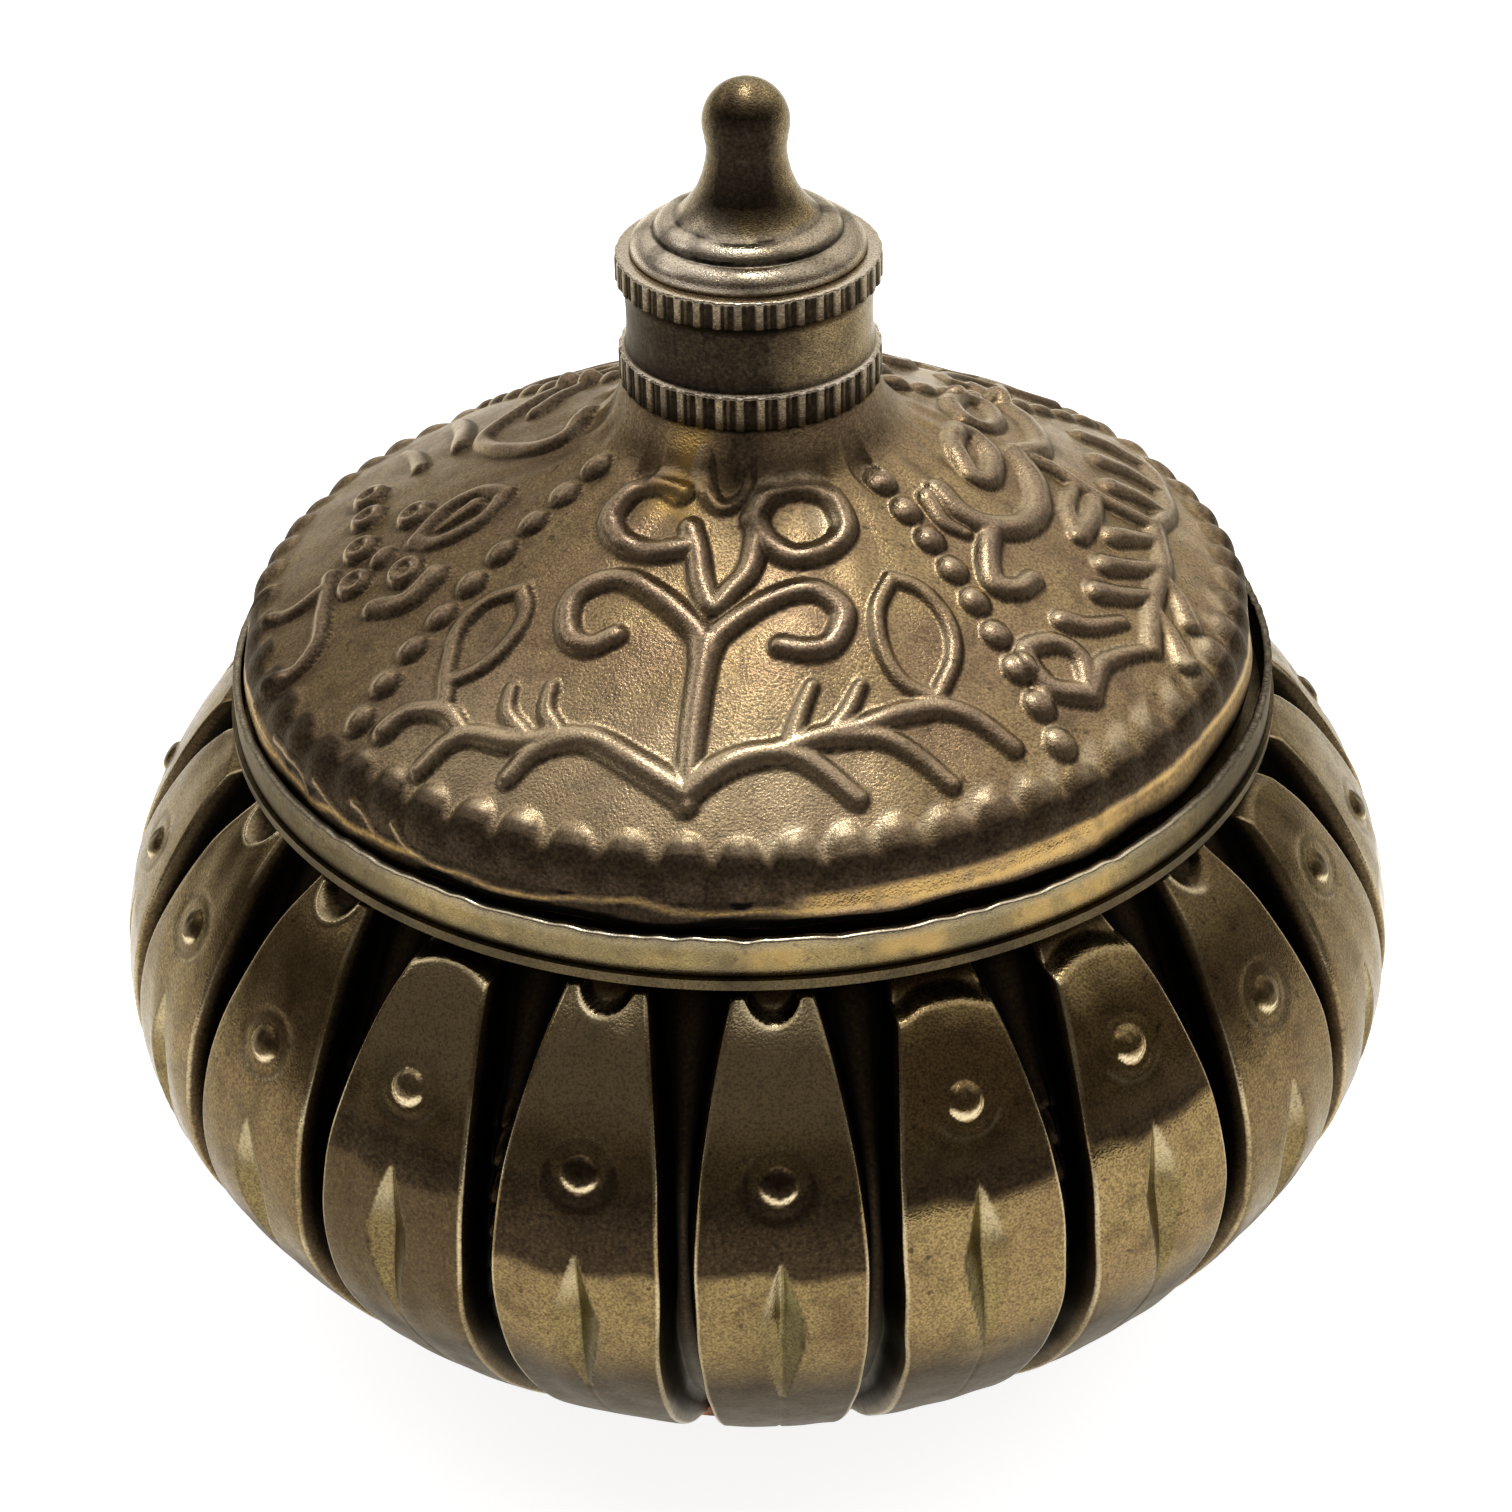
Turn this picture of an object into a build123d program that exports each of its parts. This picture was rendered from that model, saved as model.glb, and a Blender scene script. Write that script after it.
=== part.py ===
from build123d import *
import math
import os

# A lidded trinket box of pressed sheet brass: a fluted bowl with an upright collar, a domed lid
# that drops inside the collar, and a turned finial over a knurled sleeve as its knob.
# Z is the axis of the bowl and the lid, Z = 0 is the surface that the box stands on, and the middle
# of one flute faces -Y. Lengths are in millimetres. Outlines are lists of (radius, height).

# Bowl
SHEET = 0.6
FLUTE_COUNT = 22
BASE_THICKNESS = 0.8
BASE_RADIUS = 23.6
NECK_TOP = 37.4
FLUTE_TOP = 36.7
CREST = [(24.2, 0.8), (28.7, 4.6), (34.4, 11.4), (37.9, 19.0), (37.3, 26.6), (33.3, 33.5), (29.0, 37.4)]
FLOOR = [(22.4, 0.8), (26.2, 4.6), (31.6, 11.4), (35.1, 19.0), (34.5, 26.6), (30.7, 33.5), (27.4, 37.4)]
# Half the width of a flute at each height, seen from its front
FLUTE_SIDE = [
    (2.7, 0.8), (3.4, 8.0), (4.0, 14.0), (4.5, 21.5), (4.45, 25.8), (4.0, 29.7), (3.1, 33.8), (2.1, 36.7),
]
FLUTE_ROOT = 1.5  # how far a flute reaches into the wall behind it, so that they join

# Seat ring and collar round the neck
SEAT_THICKNESS = 0.6
SEAT_RADIUS = 30.3
MOUTH_RADIUS = 25.4
COLLAR_RADIUS = 30.0
COLLAR_SHEET = 0.5
COLLAR_HEIGHT = 2.3

# Lid
LID_RADIUS = 29.2
LID_NECK_RADIUS = 7.05
LID = [
    (LID_RADIUS, 40.4), (29.2, 41.5), (28.2, 43.3), (24.4, 45.9), (17.4, 49.7), (10.2, 53.2), (8.0, 54.8),
    (LID_NECK_RADIUS, 56.88),
]
SKIRT_TOP = 41.2
SEAT_GAP = 0.05  # between the lid's skirt and the seat that it stands on

# Ornament pressed up out of the dome: raised lines, rows of beads from the rim to the neck, and beads
# round the rim. The lines are drawn on the dome laid flat: millimetres across, and from the dome's tip.
DOME_SLOPE = math.radians(28.5)
ORNAMENT_HEIGHT = 0.45
LINE_WIDTH = 1.3
BEAD_WIDTH = 1.8
# Each row's place in degrees at the rim, and how far it drifts on its way up to the neck
BEAD_ROWS = [(-144.0, -10.0), (-52.8, 7.5), (34.7, -6.0), (126.7, 6.0)]
BEAD_ROW_START = 9.6
BEAD_ROW_END = 25.9
BEADS_IN_ROW = 9
RIM_BEAD_COUNT = 62
RIM_BEAD_RADIUS = 27.3
RIM_BEAD_WIDTH = 2.1
FLOWER = [
    [(0.4, 29.9), (0.2, 25.3), (0.1, 19.3)],
    [
        (0.0, 20.4), (-0.5, 18.8), (-2.8, 16.7), (-5.3, 15.4), (-7.5, 16.4), (-7.4, 18.8), (-6.1, 19.7),
        (-4.8, 19.1),
    ],
    [(0.2, 20.4), (0.7, 18.8), (3.0, 16.5), (5.2, 15.7), (6.9, 16.9), (6.6, 18.9), (5.3, 19.5), (4.0, 19.4)],
    [(-1.9, 12.2), (-1.3, 13.8), (-0.8, 15.6), (0.1, 17.4)],
    [(1.7, 12.2), (1.6, 14.6), (0.9, 16.0), (0.1, 17.4)],
    [(-1.9, 13.4), (-3.8, 13.7), (-5.7, 12.8), (-6.4, 11.2), (-5.4, 9.5), (-3.7, 9.3), (-2.6, 9.9)],
    [(2.2, 12.7), (3.9, 13.6), (5.6, 12.8), (6.3, 11.2), (5.3, 9.4), (3.6, 9.1), (2.0, 9.9)],
    [(0.1, 28.2), (-2.5, 26.7), (-4.7, 25.4), (-6.4, 25.3), (-8.3, 26.2), (-9.7, 28.0)],
    [(-6.0, 25.1), (-9.2, 25.3), (-11.6, 24.7), (-13.0, 25.1), (-14.3, 26.4)],
    [(0.2, 28.2), (1.6, 26.9), (3.2, 26.0), (5.2, 25.6), (7.0, 26.3), (8.9, 27.6)],
    [(4.6, 25.6), (6.5, 24.6), (8.7, 23.6), (10.8, 22.4), (12.7, 21.7), (14.6, 22.0), (16.7, 23.2)],
    [(-10.7, 15.6), (-12.6, 16.1), (-13.8, 17.6), (-13.9, 20.0), (-13.5, 22.6)],
    [(-10.7, 15.6), (-10.1, 17.3), (-10.7, 19.3), (-12.0, 20.7), (-13.6, 21.3)],
    [(9.2, 14.1), (8.7, 16.4), (9.3, 18.8), (10.6, 20.5), (12.5, 21.2)],
    [(9.2, 14.1), (11.0, 14.5), (12.6, 16.1), (13.2, 18.4), (12.5, 21.2)],
]
ROSE = [
    [(-4.6, 12.6), (-5.7, 14.2), (-5.7, 16.2), (-4.6, 17.9), (-2.2, 18.7), (0.6, 18.2), (2.9, 16.9)],
    [(2.5, 13.0), (0.2, 12.9), (-2.0, 14.2), (-1.6, 15.4), (0.8, 15.4), (2.5, 14.3)],
    [(3.2, 17.4), (5.2, 18.6), (8.0, 18.4), (11.0, 17.0), (13.6, 15.0)],
    [(4.2, 13.6), (6.2, 12.7), (8.6, 13.6), (8.8, 15.2), (6.6, 15.7), (4.6, 14.9)],
    [(-5.9, 16.2), (-8.2, 16.4), (-9.9, 17.2)],
    [(-9.9, 17.2), (-9.6, 18.6), (-8.4, 19.3)],
    [(2.9, 17.2), (3.0, 19.6), (2.3, 22.4), (2.3, 26.4)],
    [(-3.0, 21.5), (-0.6, 22.2), (2.2, 22.4)],
    [(2.3, 26.4), (-1.5, 27.0), (-5.5, 26.6), (-9.3, 26.9)],
    [(2.3, 26.4), (5.5, 27.4), (9.5, 27.2), (13.5, 26.2)],
    [(-14.6, 24.0), (-15.2, 21.8), (-13.6, 20.0), (-12.2, 21.4), (-12.4, 23.0)],
    [(-14.6, 24.0), (-12.4, 24.2), (-11.0, 25.1), (-9.8, 26.4)],
]
CLUSTER = [
    [(5.2, 14.9), (7.0, 16.4), (7.4, 18.8), (6.4, 20.4)],
    [(5.2, 14.9), (4.0, 16.6), (4.4, 18.6), (6.4, 20.4)],
    [(10.2, 18.8), (11.4, 20.4), (11.0, 22.4)],
    [(6.4, 26.0), (9.2, 25.9), (11.8, 25.9), (13.4, 27.2), (13.4, 28.8)],
    [
        (-0.4, 10.8), (1.4, 11.8), (1.2, 14.0), (-0.6, 16.6), (-3.0, 18.2), (-5.4, 17.4), (-7.6, 15.8),
        (-10.8, 14.6),
    ],
    [(-3.8, 19.8), (-7.0, 20.6), (-10.2, 22.0)],
]
CLUSTER_RINGS = [(9.0, 20.6), (8.2, 24.0), (5.0, 24.2), (3.6, 21.0), (1.4, 24.6), (-1.6, 25.3)]
CLUSTER_RING_RADIUS = 1.15
FIELDS = [(-99.3, FLOWER), (-9.0, ROSE), (80.7, FLOWER), (170.4, CLUSTER)]  # centre in degrees, lines

# Knob: knurled sleeve, finial and what holds them
SLEEVE_RADIUS = 7.25
SLEEVE_WAIST_RADIUS = 6.85
SLEEVE_BORE_RADIUS = 5.9
SLEEVE_HEIGHT = 7.5
SLEEVE_LID_THICKNESS = 1.4
LOWER_KNURL_HEIGHT = 2.0
UPPER_KNURL_HEIGHT = 1.6
KNURL_COUNT = 40
KNURL_RIDGE_WIDTH = 0.55
KNURL_ROOT_RADIUS = 7.05
FINIAL_BASE_RADIUS = 6.4
FINIAL_NECK_RADIUS = 2.1
FINIAL_NECK_HEIGHT = 5.7
FINIAL_BALL_RADIUS = 2.35
FINIAL_BALL_START = 2.22  # radius where the neck runs into the ball
FINIAL_HEIGHT = 9.5
STEM_RADIUS = 1.5
STEM_HOLE_RADIUS = 1.6
STEM_LENGTH = 11.8
# The finial's two turned beads: the radius and height of each at its bulge and at its upper edge
FIRST_BULGE = (6.2, 0.75)
FIRST_EDGE = (5.3, 1.13)
SECOND_BULGE = (4.85, 1.65)
SECOND_EDGE = (4.15, 1.95)
STEP_DEPTH = 0.2  # how far the profile steps in above each bead
FLARE = (2.8, 3.4)
WASHER_RADIUS = 3.5
WASHER_THICKNESS = 0.5
NUT_ACROSS_FLATS = 5.5
NUT_HEIGHT = 2.4
NUT_BORE_RADIUS = 1.55

# Heights that follow from these
SEAT_TOP = NECK_TOP + SEAT_THICKNESS
LID_TOP = LID[-1][1]
SLEEVE_TOP = LID_TOP + SLEEVE_HEIGHT
WASHER_BOTTOM = LID_TOP - SHEET - WASHER_THICKNESS
NUT_BOTTOM = WASHER_BOTTOM - NUT_HEIGHT


def inward(outline, gap):
    """The outline moved towards the axis by gap, with its two ends kept at their own heights."""
    last = len(outline) - 1
    moved = []
    for i, (r, z) in enumerate(outline):
        (r0, z0), (r1, z1) = outline[max(i - 1, 0)], outline[min(i + 1, last)]
        length = math.hypot(r1 - r0, z1 - z0)
        if i in (0, last):
            moved.append((r - gap * length / (z1 - z0), z))
        else:
            moved.append((r - gap * (z1 - z0) / length, z + gap * (r1 - r0) / length))
    return moved


def turned(outline):
    """The closed solid of revolution under a smooth outline."""
    low, high = outline[0], outline[-1]
    with BuildPart() as solid:
        with BuildSketch(Plane.XZ):
            with BuildLine():
                Spline(*outline)
                Polyline(high, (0, high[1]), (0, low[1]), low)
            make_face()
        revolve(axis=Axis.Z)
    return solid.part


def flute(crest, floor, side, top):
    """One flute on -Y, as a slab between the crest and a little behind the floor, cut to its outline."""
    right = [(w, z) for w, z in side[:-1]] + [(side[-1][0], top)]
    left = [(-w, z) for w, z in right]
    with BuildPart() as slab:
        with BuildSketch(Plane.XZ):
            with BuildLine():
                Spline(*right)
                Spline(*left)
                Line(right[0], left[0])
                Line(right[-1], left[-1])
            make_face()
        extrude(amount=max(r for r, z in crest) + 1)
        add(turned(crest), mode=Mode.INTERSECT)
        add(turned(inward(floor, FLUTE_ROOT)), mode=Mode.SUBTRACT)
    return slab.part


def from_flat(centre, x, y):
    """Where a point of the dome laid flat is in plan, in a field whose middle is at centre degrees."""
    angle = math.radians(centre) + math.atan2(x, y) / math.cos(DOME_SLOPE)
    radius = math.hypot(x, y) * math.cos(DOME_SLOPE)
    return radius * math.cos(angle), radius * math.sin(angle)


def bead_places():
    """Where the beads of the four rows are in plan."""
    places = []
    for at_rim, drift in BEAD_ROWS:
        for i in range(BEADS_IN_ROW):
            share = i / (BEADS_IN_ROW - 1)
            radius = BEAD_ROW_START + (BEAD_ROW_END - BEAD_ROW_START) * share
            angle = math.radians(at_rim + drift * (1 - share))
            places.append((radius * math.cos(angle), radius * math.sin(angle)))
    return places


def ornament():
    """The raised lines and beads of the lid, as one solid that stands a little higher than the dome."""
    with BuildPart() as raised:
        with BuildSketch(Plane.XY.offset(LID[1][1])):
            for centre, motif in FIELDS:
                for points in motif:
                    places = [from_flat(centre, x, y) for x, y in points]
                    with BuildLine():
                        Spline(*places)
                    trace(line_width=LINE_WIDTH)
                    with Locations(places[0], places[-1]):
                        Circle(LINE_WIDTH / 2)
                if motif is CLUSTER:
                    with Locations(*[from_flat(centre, x, y) for x, y in CLUSTER_RINGS]):
                        Circle(CLUSTER_RING_RADIUS)
            with Locations(*bead_places()):
                Circle(BEAD_WIDTH / 2)
            with PolarLocations(RIM_BEAD_RADIUS, RIM_BEAD_COUNT):
                Circle(RIM_BEAD_WIDTH / 2)
        extrude(amount=LID_TOP - LID[1][1])
        add(turned(inward(LID, -ORNAMENT_HEIGHT)), mode=Mode.INTERSECT)
    return raised.part


def ring(outer, inner, low, high):
    """A plain ring about Z between two heights."""
    with BuildPart() as solid:
        with BuildSketch(Plane.XY.offset(low)):
            Circle(outer)
            Circle(inner, mode=Mode.SUBTRACT)
        extrude(amount=high - low)
    return solid.part


def knurl(low, height):
    """A band of straight ridges round the sleeve, which joins its waist."""
    depth = SLEEVE_RADIUS - SLEEVE_BORE_RADIUS
    middle = SLEEVE_RADIUS - depth / 2
    with BuildPart() as band:
        with BuildSketch(Plane.XY.offset(low)):
            Circle(KNURL_ROOT_RADIUS)
            with PolarLocations(middle, KNURL_COUNT):
                Rectangle(depth, KNURL_RIDGE_WIDTH)
            Circle(SLEEVE_BORE_RADIUS, mode=Mode.SUBTRACT)
        extrude(amount=height)
    return band.part


os.makedirs("parts", exist_ok=True)

# Bowl: smooth wall with hollow flutes pressed out of it
bowl_inside = inward(FLOOR, SHEET)
flute_inside = [(w - SHEET, z) for w, z in FLUTE_SIDE]
with BuildPart() as body_shell:
    add(turned(FLOOR))
    with PolarLocations(0, FLUTE_COUNT):
        add(flute(CREST, FLOOR, FLUTE_SIDE, FLUTE_TOP))
    add(turned(bowl_inside), mode=Mode.SUBTRACT)
    with PolarLocations(0, FLUTE_COUNT):
        add(flute(inward(CREST, SHEET), bowl_inside, flute_inside, FLUTE_TOP - SHEET), mode=Mode.SUBTRACT)
body_shell.part.label = "body_shell"
export_step(body_shell.part, "parts/body_shell.step")

# Base disc that closes the bowl from below
with BuildPart() as base_disc:
    with BuildSketch(Plane.XY):
        Circle(BASE_RADIUS)
    extrude(amount=BASE_THICKNESS)
    fillet(base_disc.edges().group_by(Axis.Z)[-1], radius=BASE_THICKNESS / 3)
base_disc.part.label = "base_disc"
export_step(base_disc.part, "parts/base_disc.step")

# Flat ring on the neck, where the lid stands
with BuildPart() as seat_ring:
    add(ring(SEAT_RADIUS, MOUTH_RADIUS, NECK_TOP, SEAT_TOP))
seat_ring.part.label = "seat_ring"
export_step(seat_ring.part, "parts/seat_ring.step")

# Upright strip that keeps the lid centred
with BuildPart() as neck_collar:
    add(ring(COLLAR_RADIUS, COLLAR_RADIUS - COLLAR_SHEET, SEAT_TOP, SEAT_TOP + COLLAR_HEIGHT))
neck_collar.part.label = "neck_collar"
export_step(neck_collar.part, "parts/neck_collar.step")

# Domed lid with pressed ornament and a flat top, where the knob is fixed
lid_inside = inward(LID, SHEET)
lid_inside[-1] = (LID_NECK_RADIUS - SHEET, LID_TOP - SHEET)
with BuildPart() as lid_shell:
    add(turned(LID))
    add(ornament())
    add(turned(lid_inside), mode=Mode.SUBTRACT)
    with Locations((0, 0, LID_TOP)):
        Hole(STEM_HOLE_RADIUS, depth=SHEET * 2)
lid_shell.part.label = "lid_shell"
export_step(lid_shell.part, "parts/lid_shell.step")

# Skirt inside the lid's rim, which stands on the seat ring
with BuildPart() as lid_skirt:
    add(ring(LID_RADIUS - SHEET, LID_RADIUS - 2 * SHEET, SEAT_TOP + SEAT_GAP, SKIRT_TOP))
lid_skirt.part.label = "lid_skirt"
export_step(lid_skirt.part, "parts/lid_skirt.step")

# Hollow sleeve with a knurled band at each end
with BuildPart() as knurled_sleeve:
    add(ring(SLEEVE_WAIST_RADIUS, SLEEVE_BORE_RADIUS, LID_TOP, SLEEVE_TOP))
    add(knurl(LID_TOP, LOWER_KNURL_HEIGHT))
    add(knurl(SLEEVE_TOP - UPPER_KNURL_HEIGHT, UPPER_KNURL_HEIGHT))
    add(ring(SLEEVE_WAIST_RADIUS, STEM_HOLE_RADIUS, SLEEVE_TOP - SLEEVE_LID_THICKNESS, SLEEVE_TOP))
knurled_sleeve.part.label = "knurled_sleeve"
export_step(knurled_sleeve.part, "parts/knurled_sleeve.step")

# Finial, turned in one piece with its stem: base moulding, second bead, flare, neck and ball
first_step = (FIRST_EDGE[0] - STEP_DEPTH, FIRST_EDGE[1])
second_step = (SECOND_EDGE[0] - STEP_DEPTH, SECOND_EDGE[1])
ball_centre = FINIAL_HEIGHT - FINIAL_BALL_RADIUS
ball_start = (FINIAL_BALL_START, ball_centre - math.sqrt(FINIAL_BALL_RADIUS**2 - FINIAL_BALL_START**2))
ball_slant = FINIAL_BALL_RADIUS * math.sqrt(0.5)
with BuildPart() as finial:
    with BuildSketch(Plane((0, 0, SLEEVE_TOP), x_dir=(1, 0, 0), z_dir=(0, -1, 0))):
        with BuildLine():
            Line((0, 0), (FINIAL_BASE_RADIUS, 0))
            ThreePointArc((FINIAL_BASE_RADIUS, 0), FIRST_BULGE, FIRST_EDGE)
            Line(FIRST_EDGE, first_step)
            ThreePointArc(first_step, SECOND_BULGE, SECOND_EDGE)
            Line(SECOND_EDGE, second_step)
            Spline(second_step, FLARE, (FINIAL_NECK_RADIUS, FINIAL_NECK_HEIGHT), ball_start)
            ThreePointArc(ball_start, (ball_slant, ball_centre + ball_slant), (0, FINIAL_HEIGHT))
            Line((0, FINIAL_HEIGHT), (0, 0))
        make_face()
    revolve(axis=Axis.Z)
    with BuildSketch(Plane.XY.offset(SLEEVE_TOP)):
        Circle(STEM_RADIUS)
    extrude(amount=-STEM_LENGTH)
finial.part.label = "finial"
export_step(finial.part, "parts/finial.step")

# Washer and nut under the lid's flat top
with BuildPart() as washer:
    add(ring(WASHER_RADIUS, STEM_HOLE_RADIUS, WASHER_BOTTOM, WASHER_BOTTOM + WASHER_THICKNESS))
washer.part.label = "washer"
export_step(washer.part, "parts/washer.step")

with BuildPart() as nut:
    with BuildSketch(Plane.XY.offset(NUT_BOTTOM)):
        RegularPolygon(NUT_ACROSS_FLATS / 2, 6, major_radius=False)
        Circle(NUT_BORE_RADIUS, mode=Mode.SUBTRACT)
    extrude(amount=NUT_HEIGHT)
nut.part.label = "nut"
export_step(nut.part, "parts/nut.step")
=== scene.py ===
import math

import bpy
import numpy as np
from mathutils import Matrix, Vector


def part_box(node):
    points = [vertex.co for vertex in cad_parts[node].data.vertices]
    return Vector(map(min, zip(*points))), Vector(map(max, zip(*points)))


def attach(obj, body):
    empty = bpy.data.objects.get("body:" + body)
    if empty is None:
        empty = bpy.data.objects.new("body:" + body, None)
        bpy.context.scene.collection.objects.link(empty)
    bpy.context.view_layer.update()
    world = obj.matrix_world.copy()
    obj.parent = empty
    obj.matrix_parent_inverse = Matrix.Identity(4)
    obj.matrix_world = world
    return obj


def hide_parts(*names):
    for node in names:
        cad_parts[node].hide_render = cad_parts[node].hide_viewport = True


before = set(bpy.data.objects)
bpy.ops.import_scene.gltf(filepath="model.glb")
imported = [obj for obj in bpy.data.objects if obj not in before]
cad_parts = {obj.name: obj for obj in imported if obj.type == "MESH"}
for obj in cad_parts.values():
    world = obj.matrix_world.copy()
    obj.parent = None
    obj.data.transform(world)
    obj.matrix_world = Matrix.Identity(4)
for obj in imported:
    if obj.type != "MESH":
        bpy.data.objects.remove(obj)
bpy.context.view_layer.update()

# A lidded trinket box of aged pressed brass: fluted bowl, collar, embossed dome lid and turned knob.
# Shapes are worked out in millimetres and written to meshes in metres. Z is the axis of the box and
# the middle of flute 0 faces -Y. Outlines are lists of (radius, height).
MM = 0.001

# Camera, as the photograph was taken, with the picture taken to be 1512 pixels square
IMAGE_SIZE = 1512
FOCAL_PIXELS = 3001.7
CENTRE_SHIFT_PIXELS = 2.1
SENSOR_WIDTH = 36.0
CAMERA_DISTANCE = 180.0
CAMERA_ELEVATION = 33.78
CAMERA_TURN = -1.33  # degrees from -Y towards +X
CAMERA_ROLL = -1.19
AIM_HEIGHT = 31.38

# Sheet metal and the bowl's outlines
SHEET = 0.6
FLUTE_COUNT = 22
HALF_PITCH = math.pi / FLUTE_COUNT
FLUTE_TOP = 36.7
CREST = [(24.2, 0.8), (28.7, 4.6), (34.4, 11.4), (37.9, 19.0), (37.3, 26.6), (33.3, 33.5), (29.0, 37.4)]
FLOOR = [(22.4, 0.8), (26.2, 4.6), (31.6, 11.4), (35.1, 19.0), (34.5, 26.6), (30.7, 33.5), (27.4, 37.4)]
# Half width of a flute at each height
FLUTE_SIDE = [
    (2.7, 0.8), (3.4, 8.0), (4.0, 14.0), (4.5, 21.5), (4.45, 25.8), (4.0, 29.7), (3.1, 33.8), (2.1, 36.7),
]
BEVEL = 0.26
GROOVE_SPREAD = 0.12  # how much a groove narrows towards its bottom, on either side
GROOVE_BEAD_PITCH = 2.1
GROOVE_BEAD_HEIGHT = 1.1
GROOVE_BEAD_TOP = 31.0

# Marks stamped on the flutes, by flute number: height of the ring's centre and of the spear's tip
RING_HEIGHT = {
    0: 29.4, 1: 32.0, 2: 32.0, 3: 30.4, 4: 32.2, 5: 29.8, -1: 29.4, -2: 31.2, -3: 29.7, -4: 31.0, -5: 30.2,
}
USUAL_RING_HEIGHT = 30.6
SPEAR_TIP = {0: 25.6, 1: 28.3, 2: 28.3, 3: 25.7, -1: 25.4, -2: 27.5, -3: 25.6, -4: 27.2}
USUAL_SPEAR_TIP = 26.4
SPEAR_LENGTH = 12.2
SPEAR_HALF_WIDTH = 1.3
# How much darker the lower part of a flute is, and the height above which its face gets painted shade,
# standing for a dark reflection, by flute number
LOWER_DARKNESS = {-5: 0.2, -4: 0.3, -3: 0.45, -2: 0.78, -1: 0.2, 0: 0.22, 3: 0.42, 4: 0.35}
SHADE_HEIGHT = {0: 24.6, -1: 24.2, 1: 27.5, 2: 28.0, -2: 26.8}
USUAL_SHADE_HEIGHT = 26.4
RING_RADIUS = 1.74
RING_WIDTH = 0.26
DOT_RADIUS = 0.95
DOT_HEIGHT = 0.38
# The flutes whose top end is notched, and those where it has a deep step
NOTCHED = {0, -1, 3, -3, -4, 6, -7, 8, 10}
STEPPED = {1, 2, -6, 7}
NOTCH_WIDTH = 1.4
NOTCH_LENGTH = 1.7
NOTCH_DEPTH = 0.9
STEP_DEPTH = 1.1

# Lid
LID = [
    (29.15, 40.4), (29.15, 41.5), (28.2, 43.3), (24.4, 45.9), (17.4, 49.7), (10.2, 53.2), (8.0, 54.8),
    (7.05, 56.88),
]
LID_SLOPE = math.radians(28.5)
LID_TILT = math.radians(0.9)
RIM_SHIFT = -0.28  # the loose lid's rim lies a little to one side, and the knob to the other
KNOB_SHIFT = 0.27
RIM_BEAD_COUNT = 62
RIM_BEAD_RADIUS = 27.65
RIM_BEAD_REACH = 1.28
# Each row's place in degrees at the rim, and how far it drifts on its way up to the neck
BEAD_ROWS = [(-144.0, -10.0), (-52.8, 7.5), (34.7, -6.0), (126.7, 6.0)]
BEAD_ROW_START = 9.6
BEAD_ROW_END = 25.9
BEADS_IN_ROW = 9
BEAD_REACH = 0.95

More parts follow.
